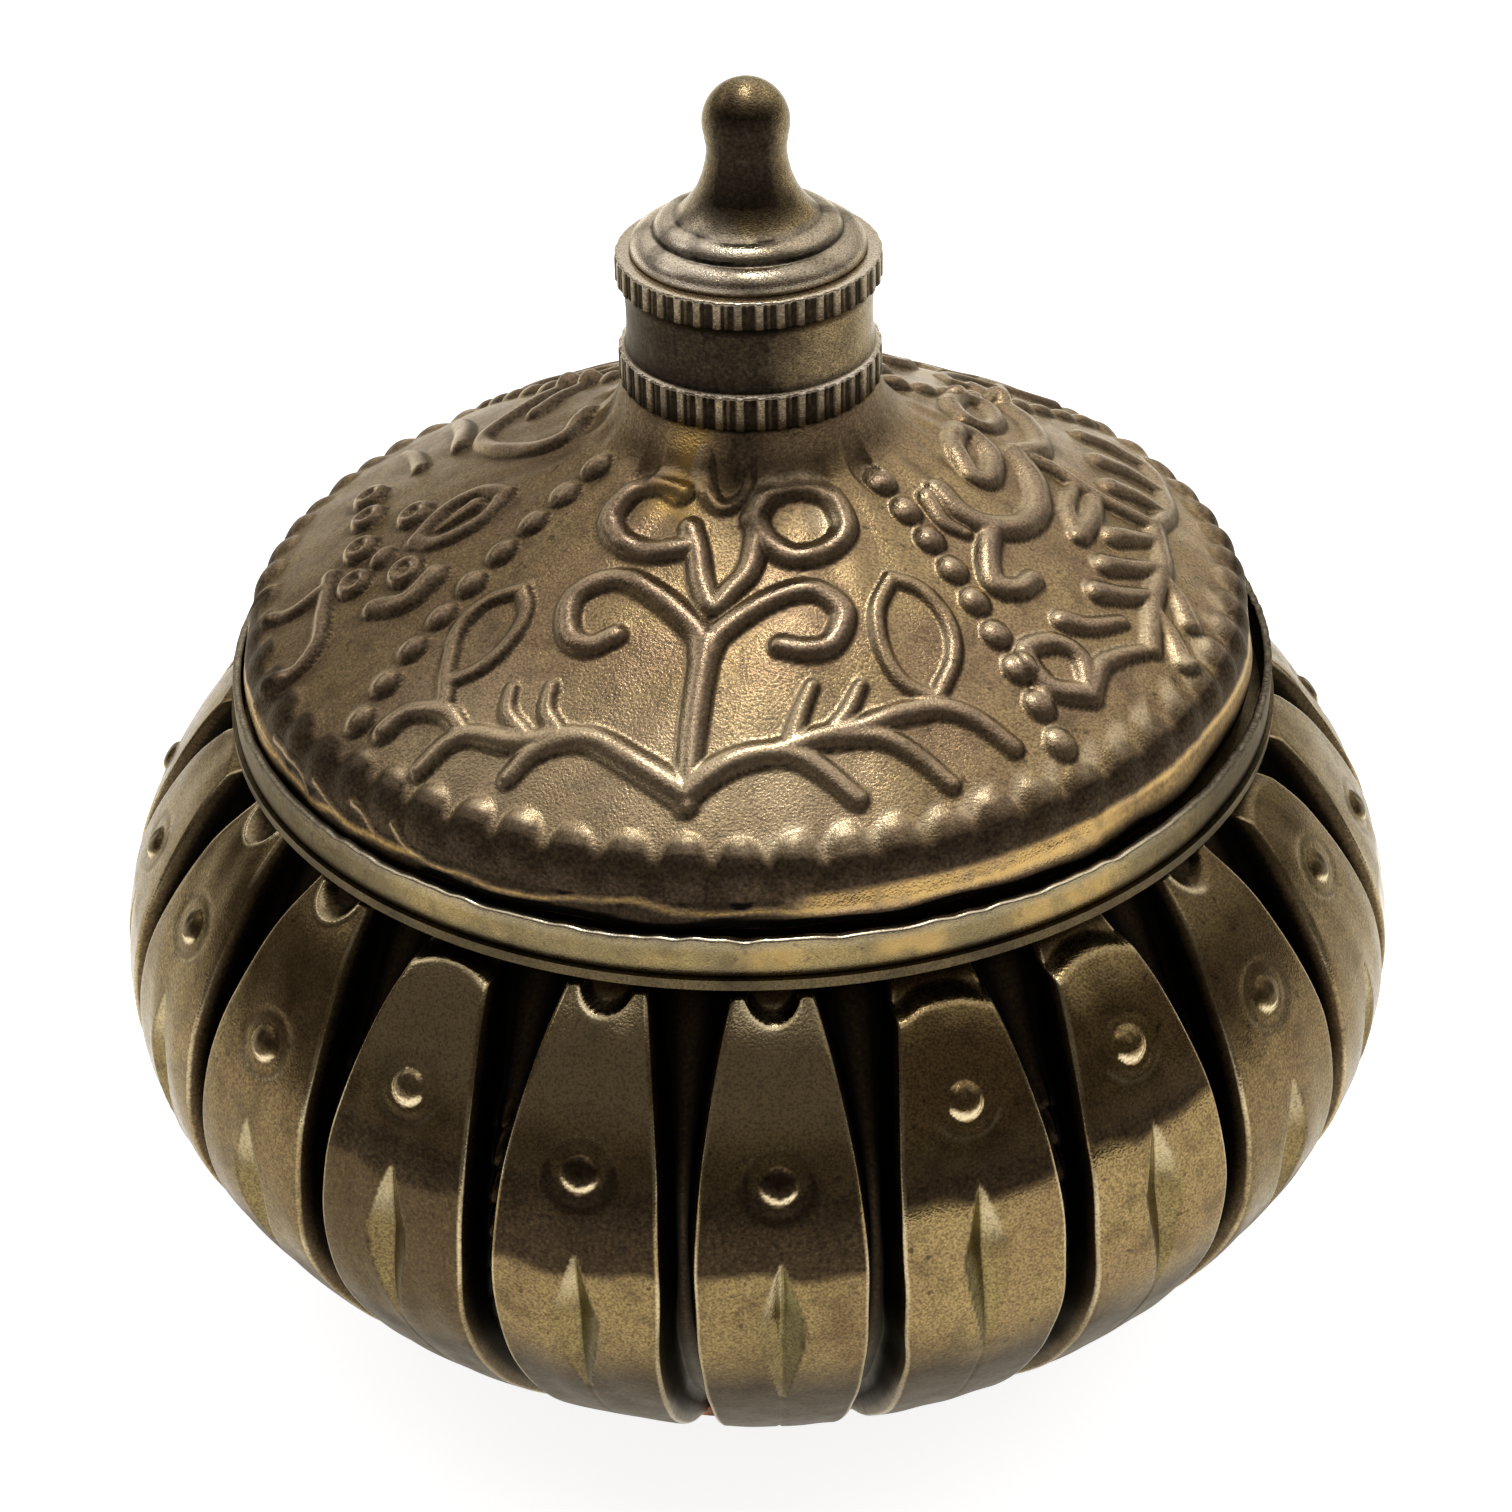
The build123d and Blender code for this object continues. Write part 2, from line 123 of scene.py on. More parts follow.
# Motifs of the lid's four fields, on the dome laid flat: millimetres across, and from the dome's tip.
# Each stroke is (half width at its start, half width at its end, points).
FLOWER = [
    (0.5, 0.65, [(0.35, 28.9), (0.2, 25.3), (0.1, 19.3)]),
    (0.6, 0.55, [
        (0.0, 20.4), (-0.5, 18.8), (-2.8, 16.7), (-5.3, 15.4), (-7.5, 16.4), (-7.4, 18.8), (-6.1, 19.7),
        (-4.8, 19.1),
    ]),
    (0.6, 0.55, [
        (0.2, 20.4), (0.7, 18.8), (3.0, 16.5), (5.2, 15.7), (6.9, 16.9), (6.6, 18.9), (5.3, 19.5),
        (4.0, 19.4),
    ]),
    (0.55, 0.55, [
        (-1.9, 12.2), (-1.3, 13.8), (-0.8, 15.6), (0.0, 17.2), (0.8, 16.1), (1.6, 14.6), (1.7, 12.2),
    ]),
    (0.6, 0.6, [
        (-1.9, 13.4), (-3.8, 13.7), (-5.7, 12.8), (-6.4, 11.2), (-5.4, 9.5), (-3.7, 9.3), (-2.6, 9.9),
    ]),
    (0.6, 0.6, [
        (1.4, 11.5), (2.2, 12.7), (3.9, 13.6), (5.6, 12.8), (6.3, 11.2), (5.3, 9.4), (3.6, 9.1),
        (2.0, 9.9), (1.4, 11.4),
    ]),
    (0.7, 0.5, [(0.1, 28.2), (-2.5, 26.7), (-4.7, 25.4), (-6.4, 25.3), (-8.1, 26.0), (-9.2, 27.3)]),
    (0.55, 0.5, [(-6.0, 25.1), (-9.2, 25.3), (-11.6, 24.7), (-13.0, 25.1), (-14.3, 26.4)]),
    (0.5, 0.35, [(-8.6, 25.1), (-9.8, 23.6), (-9.9, 22.1)]),
    (0.5, 0.35, [(-6.8, 25.0), (-7.7, 23.6), (-7.7, 22.1)]),
    (0.45, 0.6, [(-12.2, 24.5), (-13.4, 23.2), (-15.6, 22.9), (-16.9, 23.8)]),
    (0.7, 0.5, [(0.2, 28.2), (1.6, 26.9), (3.2, 26.0), (5.2, 25.6), (7.0, 26.3), (8.9, 27.6)]),
    (0.6, 0.5, [
        (4.6, 25.6), (6.5, 24.6), (8.7, 23.6), (10.8, 22.4), (12.7, 21.7), (14.6, 22.0), (16.7, 23.2),
    ]),
    (0.55, 0.45, [(7.4, 24.3), (9.7, 24.0), (11.7, 24.7), (13.6, 26.0)]),
    (0.5, 0.35, [(5.3, 25.2), (5.5, 23.4), (5.9, 21.6)]),
    (0.5, 0.35, [(7.0, 24.6), (7.9, 22.9), (8.4, 21.2)]),
    (0.4, 0.45, [(-10.7, 15.6), (-12.6, 16.1), (-13.8, 17.6), (-13.9, 20.0), (-13.5, 22.6)]),
    (0.4, 0.4, [(-10.7, 15.6), (-10.1, 17.3), (-10.7, 19.3), (-12.0, 20.7), (-13.6, 21.3)]),
    (0.4, 0.4, [(9.2, 14.1), (8.7, 16.4), (9.3, 18.8), (10.6, 20.5), (12.5, 21.2)]),
    (0.4, 0.4, [(9.2, 14.1), (11.0, 14.5), (12.6, 16.1), (13.2, 18.4), (12.5, 21.2)]),
    (0.5, 0.3, [(-1.6, 8.9), (-1.1, 10.2), (-0.2, 10.8), (0.8, 9.9), (0.9, 8.9)]),
]
ROSE = [
    (0.75, 0.7, [
        (-4.6, 12.6), (-5.7, 14.2), (-5.7, 16.2), (-4.6, 17.9), (-2.2, 18.7), (0.6, 18.2), (2.9, 16.9),
    ]),
    (0.6, 0.6, [(2.5, 13.0), (0.2, 12.9), (-2.0, 14.2), (-1.6, 15.4), (0.8, 15.4), (2.5, 14.3), (2.5, 13.0)]),
    (0.75, 0.6, [(3.2, 17.4), (5.2, 18.6), (8.0, 18.4), (11.0, 17.0), (13.6, 15.0)]),
    (0.65, 0.55, [(4.2, 13.6), (6.2, 12.7), (8.6, 13.6), (8.8, 15.2), (6.6, 15.7), (4.6, 14.9), (4.2, 13.6)]),
    (0.6, 0.6, [(-5.9, 16.2), (-8.2, 16.4), (-9.9, 17.2), (-9.6, 18.6), (-8.4, 19.3)]),
    (0.55, 0.5, [(2.9, 17.2), (3.0, 19.6), (2.3, 22.4), (2.3, 26.4)]),
    (0.6, 0.5, [(-3.0, 21.5), (-0.6, 22.2), (2.2, 22.4)]),
    (0.5, 0.4, [(-3.0, 21.5), (-0.6, 20.6), (2.4, 21.0)]),
    (0.55, 0.5, [(2.3, 26.4), (-1.5, 27.0), (-5.5, 26.6), (-9.3, 26.9)]),
    (0.55, 0.5, [(2.3, 26.4), (5.5, 27.4), (9.5, 27.2), (13.5, 26.2)]),
    (0.7, 0.45, [(-1.4, 23.6), (-0.2, 25.2), (0.8, 26.4)]),
    (0.7, 0.45, [(-4.4, 23.4), (-3.4, 25.0), (-2.2, 26.6)]),
    (0.7, 0.45, [(-7.0, 23.2), (-6.2, 24.8), (-5.0, 26.4)]),
    (0.65, 0.4, [(-10.4, 21.6), (-9.8, 23.2), (-8.4, 24.9)]),
    (0.6, 0.4, [(-9.0, 28.9), (-7.4, 28.0), (-6.2, 27.0)]),
    (0.6, 0.4, [(-5.6, 29.0), (-4.0, 28.2), (-2.8, 27.1)]),
    (0.8, 0.5, [(4.6, 23.6), (5.0, 25.2), (4.9, 26.8)]),
    (0.8, 0.5, [(8.0, 23.0), (8.6, 24.8), (8.4, 26.8)]),
    (0.8, 0.5, [(12.4, 22.4), (12.8, 24.0), (12.2, 26.2)]),
    (0.6, 0.5, [(-14.6, 24.0), (-15.2, 21.8), (-13.6, 20.0), (-12.2, 21.4), (-12.4, 23.0), (-14.6, 24.0)]),
    (0.55, 0.4, [(-14.6, 24.0), (-12.4, 24.2), (-11.0, 25.1), (-9.8, 26.4)]),
    (0.5, 0.35, [(-5.6, 12.0), (-6.9, 13.4), (-7.2, 14.8)]),
]
CLUSTER = [
    (0.5, 0.5, [(5.2, 14.9), (7.0, 16.4), (7.4, 18.8), (6.4, 20.4)]),
    (0.5, 0.5, [(5.2, 14.9), (4.0, 16.6), (4.4, 18.6), (6.4, 20.4)]),
    (0.5, 0.3, [(5.3, 16.8), (6.2, 19.0)]),
    (0.75, 0.6, [(10.2, 18.8), (11.4, 20.4), (11.0, 22.4)]),
    (0.5, 0.5, [(6.4, 26.0), (9.2, 25.9), (11.8, 25.9), (13.4, 27.2), (13.4, 28.8)]),
    (0.5, 0.4, [(7.4, 26.4), (8.0, 28.2), (7.6, 30.0)]),
    (0.6, 0.5, [
        (-0.4, 10.8), (1.4, 11.8), (1.2, 14.0), (-0.6, 16.6), (-3.0, 18.2), (-5.4, 17.4), (-7.6, 15.8),
        (-10.8, 14.6),
    ]),
    (0.6, 0.5, [(-3.8, 19.8), (-7.0, 20.6), (-10.2, 22.0)]),
    (0.6, 0.45, [(-4.4, 15.0), (-6.4, 13.8), (-9.0, 12.8)]),
    (0.5, 0.35, [(-3.2, 22.4), (-6.0, 23.6), (-8.4, 25.2)]),
    (0.6, 0.6, [(6.6, 22.4), (6.8, 22.6)]),
]
CLUSTER_RINGS = [(9.0, 20.6), (8.2, 24.0), (5.0, 24.2), (3.6, 21.0), (1.4, 24.6), (-1.6, 25.3)]
CLUSTER_RING_RADIUS = 0.72
CLUSTER_RING_WIDTH = 0.5
CLUSTER_DOT_RADIUS = 0.42
FIELDS = [(-99.3, FLOWER), (-9.0, ROSE), (80.7, FLOWER), (170.4, CLUSTER)]  # centre in degrees, motif
LINE_HEIGHT = 0.5
BEAD_HEIGHT = 0.45
RIM_BEAD_HEIGHT = 0.45
CREASE_HEIGHT = 0.16
LID_HOLE_RADIUS = 1.65
SHADOW_STEPS = 8  # rows of the mesh over which the shadow under a stroke fades

# Creases in the rim's wall at the left: points of (degrees, height)
CREASES = [
    [(-162, 42.3), (-160.5, 41.9), (-157, 41.8), (-155, 41.7)],
    [(-154.5, 42.3), (-150, 42.3), (-147.5, 42.2), (-146, 41.8), (-145.5, 41.5)],
    [(-144, 42.4), (-142, 42.0), (-139.7, 41.6)],
    [(-137.8, 42.6), (-136, 42.4), (-134.8, 41.9), (-134, 41.7)],
    [(-131.5, 42.6), (-130, 42.0), (-128.8, 41.7), (-127.3, 41.6)],
]
MM_PER_DEGREE = 0.5

# Collar and knob
COLLAR_SHEET = 0.5
TOOTH_COUNT = 40
TOOTH_DEPTH = 0.18
SLEEVE_WAIST = 6.85
SLEEVE_BORE = 5.9
SLEEVE_LID = 1.4
LOWER_KNURL = 2.0
UPPER_KNURL = 1.6
STEM_RADIUS = 1.5
STEM_HOLE_RADIUS = 1.6
FINIAL_RADIUS = 6.4
FINIAL_OUTLINE = [
    (FINIAL_RADIUS, 0.0), (6.42, 0.2), (6.36, 0.5), (6.15, 0.8), (5.75, 1.02), (5.3, 1.13), (5.12, 1.14),
    (5.1, 1.35), (4.9, 1.65), (4.55, 1.86), (4.15, 1.95), (3.95, 1.98), (3.55, 2.32), (3.15, 2.8),
    (2.75, 3.4), (2.42, 4.2), (2.22, 5.0), (2.15, 5.6), (2.17, 6.0), (2.24, 6.3),
]
FIRST_CREASE_RADIUS = 5.12
SECOND_CREASE_RADIUS = 4.0
BALL_RADIUS = 2.35

# Studio, with lengths in metres
FLOOR_HALF_WIDTH = 4.0
FLOOR_GLOW = 0.87  # seen by the camera and in reflections only
LAMP_AIM = (0, 0, 0.03)
DIM_SKY = (0.15, 0.135, 0.12, 1)
PALE_SKY = (1.08, 1.06, 1.04, 1)

random = np.random.default_rng(11)


def rises(value, low, high):
    """0 below low, 1 above high, with a smooth rise between them."""
    t = np.clip((value - low) / (high - low), 0, 1)
    return t * t * (3 - 2 * t)


def fades(value, low, high):
    """1 below low, 0 above high, with a smooth fall between them."""
    return rises(-value, -high, -low)


def window(value, low, full, fading, high):
    """0 below low and above high, 1 from full to fading, with a smooth rise and fall."""
    return rises(value, low, full) * fades(value, fading, high)


def peak(value, middle, width):
    """1 where value is at its middle, falling softly to 0 about two widths away."""
    return np.exp(-((value - middle) / width) ** 2)


def smooth(points, steps=24):
    """A smooth curve through points, as a dense list."""
    p = np.array(points, float)
    p = np.vstack([2 * p[0] - p[1], p, 2 * p[-1] - p[-2]])
    t = np.linspace(0, 1, steps, endpoint=False)[:, None]
    parts = []
    for a, b, c, d in zip(p, p[1:], p[2:], p[3:]):
        square = 2 * a - 5 * b + 4 * c - d
        cube = 3 * b - a - 3 * c + d
        parts.append(0.5 * (2 * b + (c - a) * t + square * t**2 + cube * t**3))
    return np.vstack(parts + [p[-2:-1]])


def lengths(curve):
    """Distance along a dense curve at each of its points."""
    return np.concatenate([[0], np.cumsum(np.linalg.norm(np.diff(curve, axis=0), axis=1))])


def waves(angle, place, size, count, seed):
    """A gentle uneven swell over angle and place, between about -1 and 1, the same on every run."""
    source = np.random.default_rng(seed)
    total = np.zeros(np.broadcast(angle, place).shape)
    for turns in source.integers(2, count, 9):
        drift = place / size * source.uniform(0.5, 1.5)
        total += np.sin(turns * angle + drift + source.uniform(0, 2 * math.pi))
    return total / 3


def round_waves(angle, count, seed):
    """The same kind of swell, over the angle alone."""
    return waves(angle, 0 * angle, 1.0, count, seed)


def column(values):
    """Numbers as one column, one for each row of a mesh."""
    return np.array(values, float)[:, None]


def full_turn(columns):
    """Angles once round the axis, as one row."""
    return (np.arange(columns) / columns * 2 * math.pi)[None, :]


def round_points(r, z, angle, shift=0.0):
    """Points at these radii and heights all round the axis, moved sideways by a shift."""
    return np.stack([r * np.cos(angle) + shift, r * np.sin(angle), z + 0 * angle], axis=-1)


def grid_piece(name, points, body, node, material, marks, closed=True):
    """A mesh from rows of points, each row going once round the axis, that stands for a node."""
    rows, columns = points.shape[:2]
    mesh = bpy.data.meshes.new(name)
    mesh.vertices.add(rows * columns)
    mesh.vertices.foreach_set("co", (points * MM).astype(np.float32).ravel())
    number = np.arange(rows * columns).reshape(rows, columns)
    upper = np.roll(number, -1, axis=0) if closed else number[1:]
    lower = number if closed else number[:-1]
    quads = np.stack([lower, np.roll(lower, -1, axis=1), np.roll(upper, -1, axis=1), upper], axis=-1)
    corners = quads.reshape(-1)
    starts = np.arange(0, len(corners), 4)
    if not closed:
        corners = np.concatenate([corners, number[0][::-1], number[-1]])
        starts = np.concatenate([starts, [quads.size, quads.size + columns]])
    mesh.loops.add(len(corners))
    mesh.loops.foreach_set("vertex_index", corners.astype(np.int32))
    mesh.polygons.add(len(starts))
    mesh.polygons.foreach_set("loop_start", starts.astype(np.int32))
    for mark, values in marks.items():
        attribute = mesh.attributes.new(mark, "FLOAT", "POINT")
        values = np.broadcast_to(values, (rows, columns)).astype(np.float32)
        attribute.data.foreach_set("value", values.ravel())
    mesh.update(calc_edges=True)
    mesh.validate()
    mesh.shade_smooth()
    piece = bpy.data.objects.new(name, mesh)
    bpy.context.scene.collection.objects.link(piece)
    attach(piece, body)
    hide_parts(node)
    mesh.materials.append(material)


# Materials

AMBER = (0.56, 0.36, 0.12, 1)
# Near black for the deepest hollows: their patina, with painted shade.
DEEP_PATINA_AND_SHADE = (0.006, 0.005, 0.004, 1)


def node_adder(tree):
    """A function that adds nodes to a tree, with their settings, values and links."""

    def add(kind, inputs=None, **settings):
        node = tree.nodes.new(kind)
        for key, value in settings.items():
            setattr(node, key, value)
        for key, value in (inputs or {}).items():
            if isinstance(value, bpy.types.NodeSocket):
                tree.links.new(value, node.inputs[key])
            else:
                node.inputs[key].default_value = value
        return node

    return add


def new_material(name):
    """An empty material with its shader, the function that adds nodes to it, and its links."""
    material = bpy.data.materials.new(name)
    material.use_nodes = True
    tree = material.node_tree
    return material, tree.nodes["Principled BSDF"], node_adder(tree), tree.links


def noise(add, place, size, detail=2.0):
    """A noise whose features are size millimetres across."""
    settings = {"Vector": place, "Scale": 1 / (size * MM), "Detail": detail}
    return add("ShaderNodeTexNoise", settings).outputs["Fac"]


def ramp(add, value, low, high, start=0.0, end=1.0):
    """Value between low and high turned into a number between start and end."""
    limits = {"From Min": low, "From Max": high, "To Min": start, "To Max": end}
    return add("ShaderNodeMapRange", {"Value": value, **limits}).outputs["Result"]


def mix(add, share, first, second):
    """Colour between first and second."""
    node = add("ShaderNodeMix", {0: share, 6: first, 7: second}, data_type="RGBA")
    return node.outputs[2]


def times(add, first, second):
    """Product of two numbers."""
    return add("ShaderNodeMath", {0: first, 1: second}, operation="MULTIPLY").outputs["Value"]


def grainy(add, share, pattern):
    """A share whose half-way values are broken up by a pattern, while 0 and 1 stay."""
    swing = times(add, ramp(add, share, 0.0, 0.35), ramp(add, share, 1.0, 0.65))
    spread = times(add, swing, ramp(add, pattern, 0.3, 0.7, -0.16, 0.16))
    return add("ShaderNodeMath", {0: share, 1: spread}, operation="ADD", use_clamp=True).outputs["Value"]


def brass(name, tones, patina, rough, grain, grain_depth, specks, stretch=(1, 1, 1), dents=0.02):
    """Aged brass in a main, a second, a bright and a fourth tone, with a dark patina. The marks on a mesh say
    where it is dark (patina in hollows, and painted shade), bright (painted highlights and painted
    reflections), in the fourth tone (wear, and painted shade on one facet of a spear), or covered by old
    lacquer (amber).
    The size of the grain, its depth and the depth of the dents are in millimetres."""
    main, second, light, rubbed_and_shaded_tone = tones
    material, shader, add, links = new_material(name)
    place = add("ShaderNodeTexCoord").outputs["Object"]
    brushed = add("ShaderNodeMapping", {"Vector": place, "Scale": stretch}).outputs["Vector"]
    patina_and_shade, edge, worn_and_shaded, lacquer = (
        add("ShaderNodeAttribute", attribute_name=mark).outputs["Fac"]
        for mark in ("patina_and_shade", "edge", "worn_and_shaded", "amber")
    )
    sand = noise(add, brushed, grain, 2.0)
    patina_and_shade = grainy(add, patina_and_shade, noise(add, place, 0.22, 4.0))
    colour = mix(add, ramp(add, noise(add, place, 5.0, 5.0), 0.42, 0.58), main, second)
    colour = mix(add, worn_and_shaded, colour, rubbed_and_shaded_tone)
    colour = mix(add, ramp(add, sand, 0.62, 0.36, 0.0, specks), colour, patina)
    blotches = ramp(add, noise(add, place, 1.7, 6.0), 0.5, 0.7, 0.0, 0.45)
    colour = mix(add, blotches, colour, patina)
    pits = ramp(add, noise(add, place, 0.55, 1.0), 0.68, 0.76, 0.0, 0.7)
    colour = mix(add, pits, colour, patina)
    share = times(add, lacquer, ramp(add, noise(add, place, 1.1, 4.0), 0.35, 0.55, 0.25, 1.0))
    colour = mix(add, share, colour, AMBER)
    # The bright tone, where a mesh marks painted highlights and painted reflections.
    colour = mix(add, times(add, edge, ramp(add, sand, 0.3, 0.55, 0.5, 1.0)), colour, light)
    # Towards the patina for patina in hollows and for painted shade, and near black in the deepest of them.
    colour = mix(add, patina_and_shade, colour, patina)
    colour = mix(add, ramp(add, patina_and_shade, 0.85, 1.0), colour, DEEP_PATINA_AND_SHADE)
    links.new(colour, shader.inputs["Base Color"])
    shader.inputs["Metallic"].default_value = 1.0
    shader.inputs["Specular Tint"].default_value = (0.9, 0.86, 0.76, 1)
    uneven = ramp(add, noise(add, place, 1.3, 4.0), 0.3, 0.7, rough - 0.03, rough + 0.05)
    dulled = add("ShaderNodeMath", {0: patina_and_shade, 1: 0.35, 2: uneven}, operation="MULTIPLY_ADD").outputs["Value"]
    links.new(dulled, shader.inputs["Roughness"])
    height = times(add, sand, ramp(add, worn_and_shaded, 0.0, 1.0, 1.0, 0.35))
    fine = add("ShaderNodeBump", {"Height": height, "Strength": 1.0, "Distance": grain_depth * MM})
    waved = add(
        "ShaderNodeBump",
        {
            "Height": noise(add, place, 1.5, 2.0), "Strength": 1.0, "Distance": dents * MM,
            "Normal": fine.outputs["Normal"],
        },
    )
    links.new(waved.outputs["Normal"], shader.inputs["Normal"])
    return material


def bowl_brass():
    tones = ((0.33, 0.235, 0.097, 1), (0.28, 0.19, 0.083, 1), (0.70, 0.58, 0.36, 1), (0.20, 0.17, 0.06, 1))
    return brass(
        "bowl_brass", tones, patina=(0.047, 0.030, 0.017, 1), rough=0.1,
        grain=0.14, grain_depth=0.012, specks=0.65, dents=0.012,
    )


def lid_brass():
    tones = ((0.42, 0.295, 0.145, 1), (0.36, 0.245, 0.135, 1), (0.62, 0.49, 0.31, 1), (0.43, 0.315, 0.225, 1))
    return brass(
        "lid_brass", tones, patina=(0.07, 0.048, 0.03, 1), rough=0.25,
        grain=0.14, grain_depth=0.035, specks=0.6,
    )


def band_brass():
    tones = ((0.33, 0.245, 0.10, 1), (0.24, 0.185, 0.085, 1), (0.8, 0.7, 0.52, 1), (0.3, 0.22, 0.1, 1))
    return brass(
        "band_brass", tones, patina=(0.06, 0.045, 0.028, 1), rough=0.22,
        grain=0.12, grain_depth=0.012, specks=0.65, stretch=(1, 1, 3),
    )


def seat_brass():
    tones = ((0.12, 0.09, 0.045, 1), (0.09, 0.07, 0.035, 1), (0.3, 0.25, 0.16, 1), (0.1, 0.08, 0.04, 1))
    return brass(
        "seat_brass", tones, patina=(0.03, 0.022, 0.015, 1), rough=0.3,
        grain=0.13, grain_depth=0.02, specks=0.6,
    )


def knob_brass():
    tones = ((0.45, 0.335, 0.17, 1), (0.34, 0.25, 0.13, 1), (0.80, 0.69, 0.55, 1), (0.13, 0.10, 0.06, 1))
    return brass(
        "knob_brass", tones, patina=(0.03, 0.022, 0.015, 1), rough=0.11,
        grain=0.13, grain_depth=0.02, specks=0.85, stretch=(1, 1, 3),
    )


def base_brass():
    tones = ((0.30, 0.13, 0.07, 1), (0.24, 0.12, 0.07, 1), (0.5, 0.3, 0.18, 1), (0.2, 0.1, 0.06, 1))
    return brass(
        "base_brass", tones, patina=(0.05, 0.03, 0.02, 1), rough=0.3,
        grain=0.3, grain_depth=0.02, specks=0.4,
    )


def fixing_brass():
    tones = ((0.56, 0.44, 0.2, 1), (0.5, 0.4, 0.2, 1), (0.8, 0.7, 0.5, 1), (0.4, 0.3, 0.14, 1))
    return brass(
        "fixing_brass", tones, patina=(0.10, 0.07, 0.04, 1), rough=0.28,
        grain=0.2, grain_depth=0.01, specks=0.2,
    )


# Bowl

def crest_lookup():
    """Dense crest outline, with its length and the direction that faces outwards at each point."""
    curve = smooth(CREST)
    along = lengths(curve)
    slope = np.gradient(curve, along, axis=0)
    return curve[:, 1], curve[:, 0], along, slope[:, 1], -slope[:, 0]


def stamped_ring(flute, x, rise):
    """Ring and dot on a flute: height; how dark, with painted shade on the dots; how bright, with a painted
    reflection in a crescent under the dot and a painted highlight on the ring's lower arc; and that crescent.
    """
    from_dot = np.hypot(x, rise)
    ring = peak(from_dot, RING_RADIUS, RING_WIDTH)
    dot = np.sqrt(np.clip(1 - (from_dot / DOT_RADIUS) ** 2, 0, 1))
    dimple = np.exp(-(x**2 * 3 + (rise - 0.45) ** 2) / 0.12)
    outside_dot = rises(np.hypot(x, rise - 0.3), 0.86, 0.98)
    # Painted reflection: a lit crescent under the dot.
    crescent = fades(from_dot, 0.94, 1.06) * outside_dot * fades(rise, -0.5, -0.1)
    front = 1.0 if flute in (0, -1) else 0.35
    height = DOT_HEIGHT * dot - 0.04 * ring - 0.06 * dimple
    # The ring is dark, more so on the front flutes, whose dots get painted shade.
    dark = 0.22 * ring * (0.5 + front) + front * 0.75 * rises(dot, 0.0, 0.3) * (1 - crescent)
    # Painted highlight on the lower arc of the ring, on the other flutes.
    arc = peak(from_dot - RING_RADIUS, 0.2, 0.1) * fades(rise, -1.2, -0.3) * (1 - front)
    return height, dark, crescent + 0.9 * arc, crescent


def stamped_spear(flute, across, share):
    """Spear on a flute, by share of its length from the tip: depth; how dark, with painted shade on one
    facet;
    how bright, with a painted highlight near the tip; and how much it takes the fourth tone, more on that
    facet.
    """
    half = SPEAR_HALF_WIDTH * np.clip(share / 0.34, 0, 1) ** 0.8 * (1 - 0.88 * rises(share, 0.36, 1.0))
    spear = np.clip(1 - np.abs(across) / np.maximum(half, 0.05), 0, 1)
    inside = rises(spear, 0.0, 0.12) * np.clip(share / 0.03, 0, 1) * (1 - rises(share, 0.88, 1.0))
    depth = 0.75 * half * (1 - 0.3 * share) * spear
    side = -1 if flute > 0 else 1
    # Painted shade on the facet turned away from the light, which also takes more of the fourth tone.
    shaded = inside * rises(side * across, -0.06, 0.06)
    outline = peak(spear, 0.08, 0.07) * inside
    dark = 0.55 * outline * (0.4 + 0.6 * (side * across > 0)) + 0.45 * shaded * rises(share, 0.1, 0.4)
    # Painted highlight near the tip.
    bright = 0.45 * inside * (1 - shaded) * fades(share, 0.15, 0.35)
    return depth, dark, bright, inside * (0.45 + 0.55 * shaded)


def flute_relief(flute, x, s, along_of):
    """Height of what is stamped on one flute; how dark and how bright, with painted shade and highlights;
    how much it takes the fourth tone; and the dot's painted crescent.
    """
    uneven = math.sin(flute * 2.4)
    ring_at = along_of(RING_HEIGHT.get(flute, USUAL_RING_HEIGHT + 1.2 * uneven))
    tip = along_of(SPEAR_TIP.get(flute, USUAL_SPEAR_TIP + 1.1 * uneven))
    end = tip - SPEAR_LENGTH * random.uniform(0.95, 1.12)
    lean = random.uniform(-0.02, 0.02)
    x = x + random.uniform(-0.12, 0.12)
    height, dark, bright, crescent = stamped_ring(flute, x, s - ring_at)
    share = np.clip((tip - s) / (tip - end), 0, 1)
    depth, spear_dark, spear_bright, worn_and_shaded = stamped_spear(flute, x + lean * (tip - s), share)
    return height - depth, dark + spear_dark, bright + spear_bright, worn_and_shaded, crescent


def flute_top_relief(flute, x, s, top, half):
    """Height of the notch or step at the top end of a flute, how dark it is, and its rim, brightened as a
    painted highlight.
    """
    from_top = top - s
    if flute in NOTCHED:
        reach = np.hypot(x / NOTCH_WIDTH, from_top / NOTCH_LENGTH)
        hollow = fades(reach, 0.8, 1.0)
        rim = peak(reach, 1.08, 0.1)
        at_left = flute < -1
        # The notch rim's painted highlight goes all round on the left flutes, on the left half elsewhere.
        lit = 1.0 if at_left else fades(x, -0.4, 0.6)
        return 0.12 * rim * at_left - NOTCH_DEPTH * hollow, 0.65 * hollow, 0.95 * rim * lit
    drop = (1.2 if flute in STEPPED else 0.35) + 0.9 * np.abs(x / half) ** 2.5
    step = fades(from_top, drop - 0.15, drop + 0.45)
    return -STEP_DEPTH * step, 0.6 * step, 0.12 * peak(from_top - drop, 0.4, 0.14)


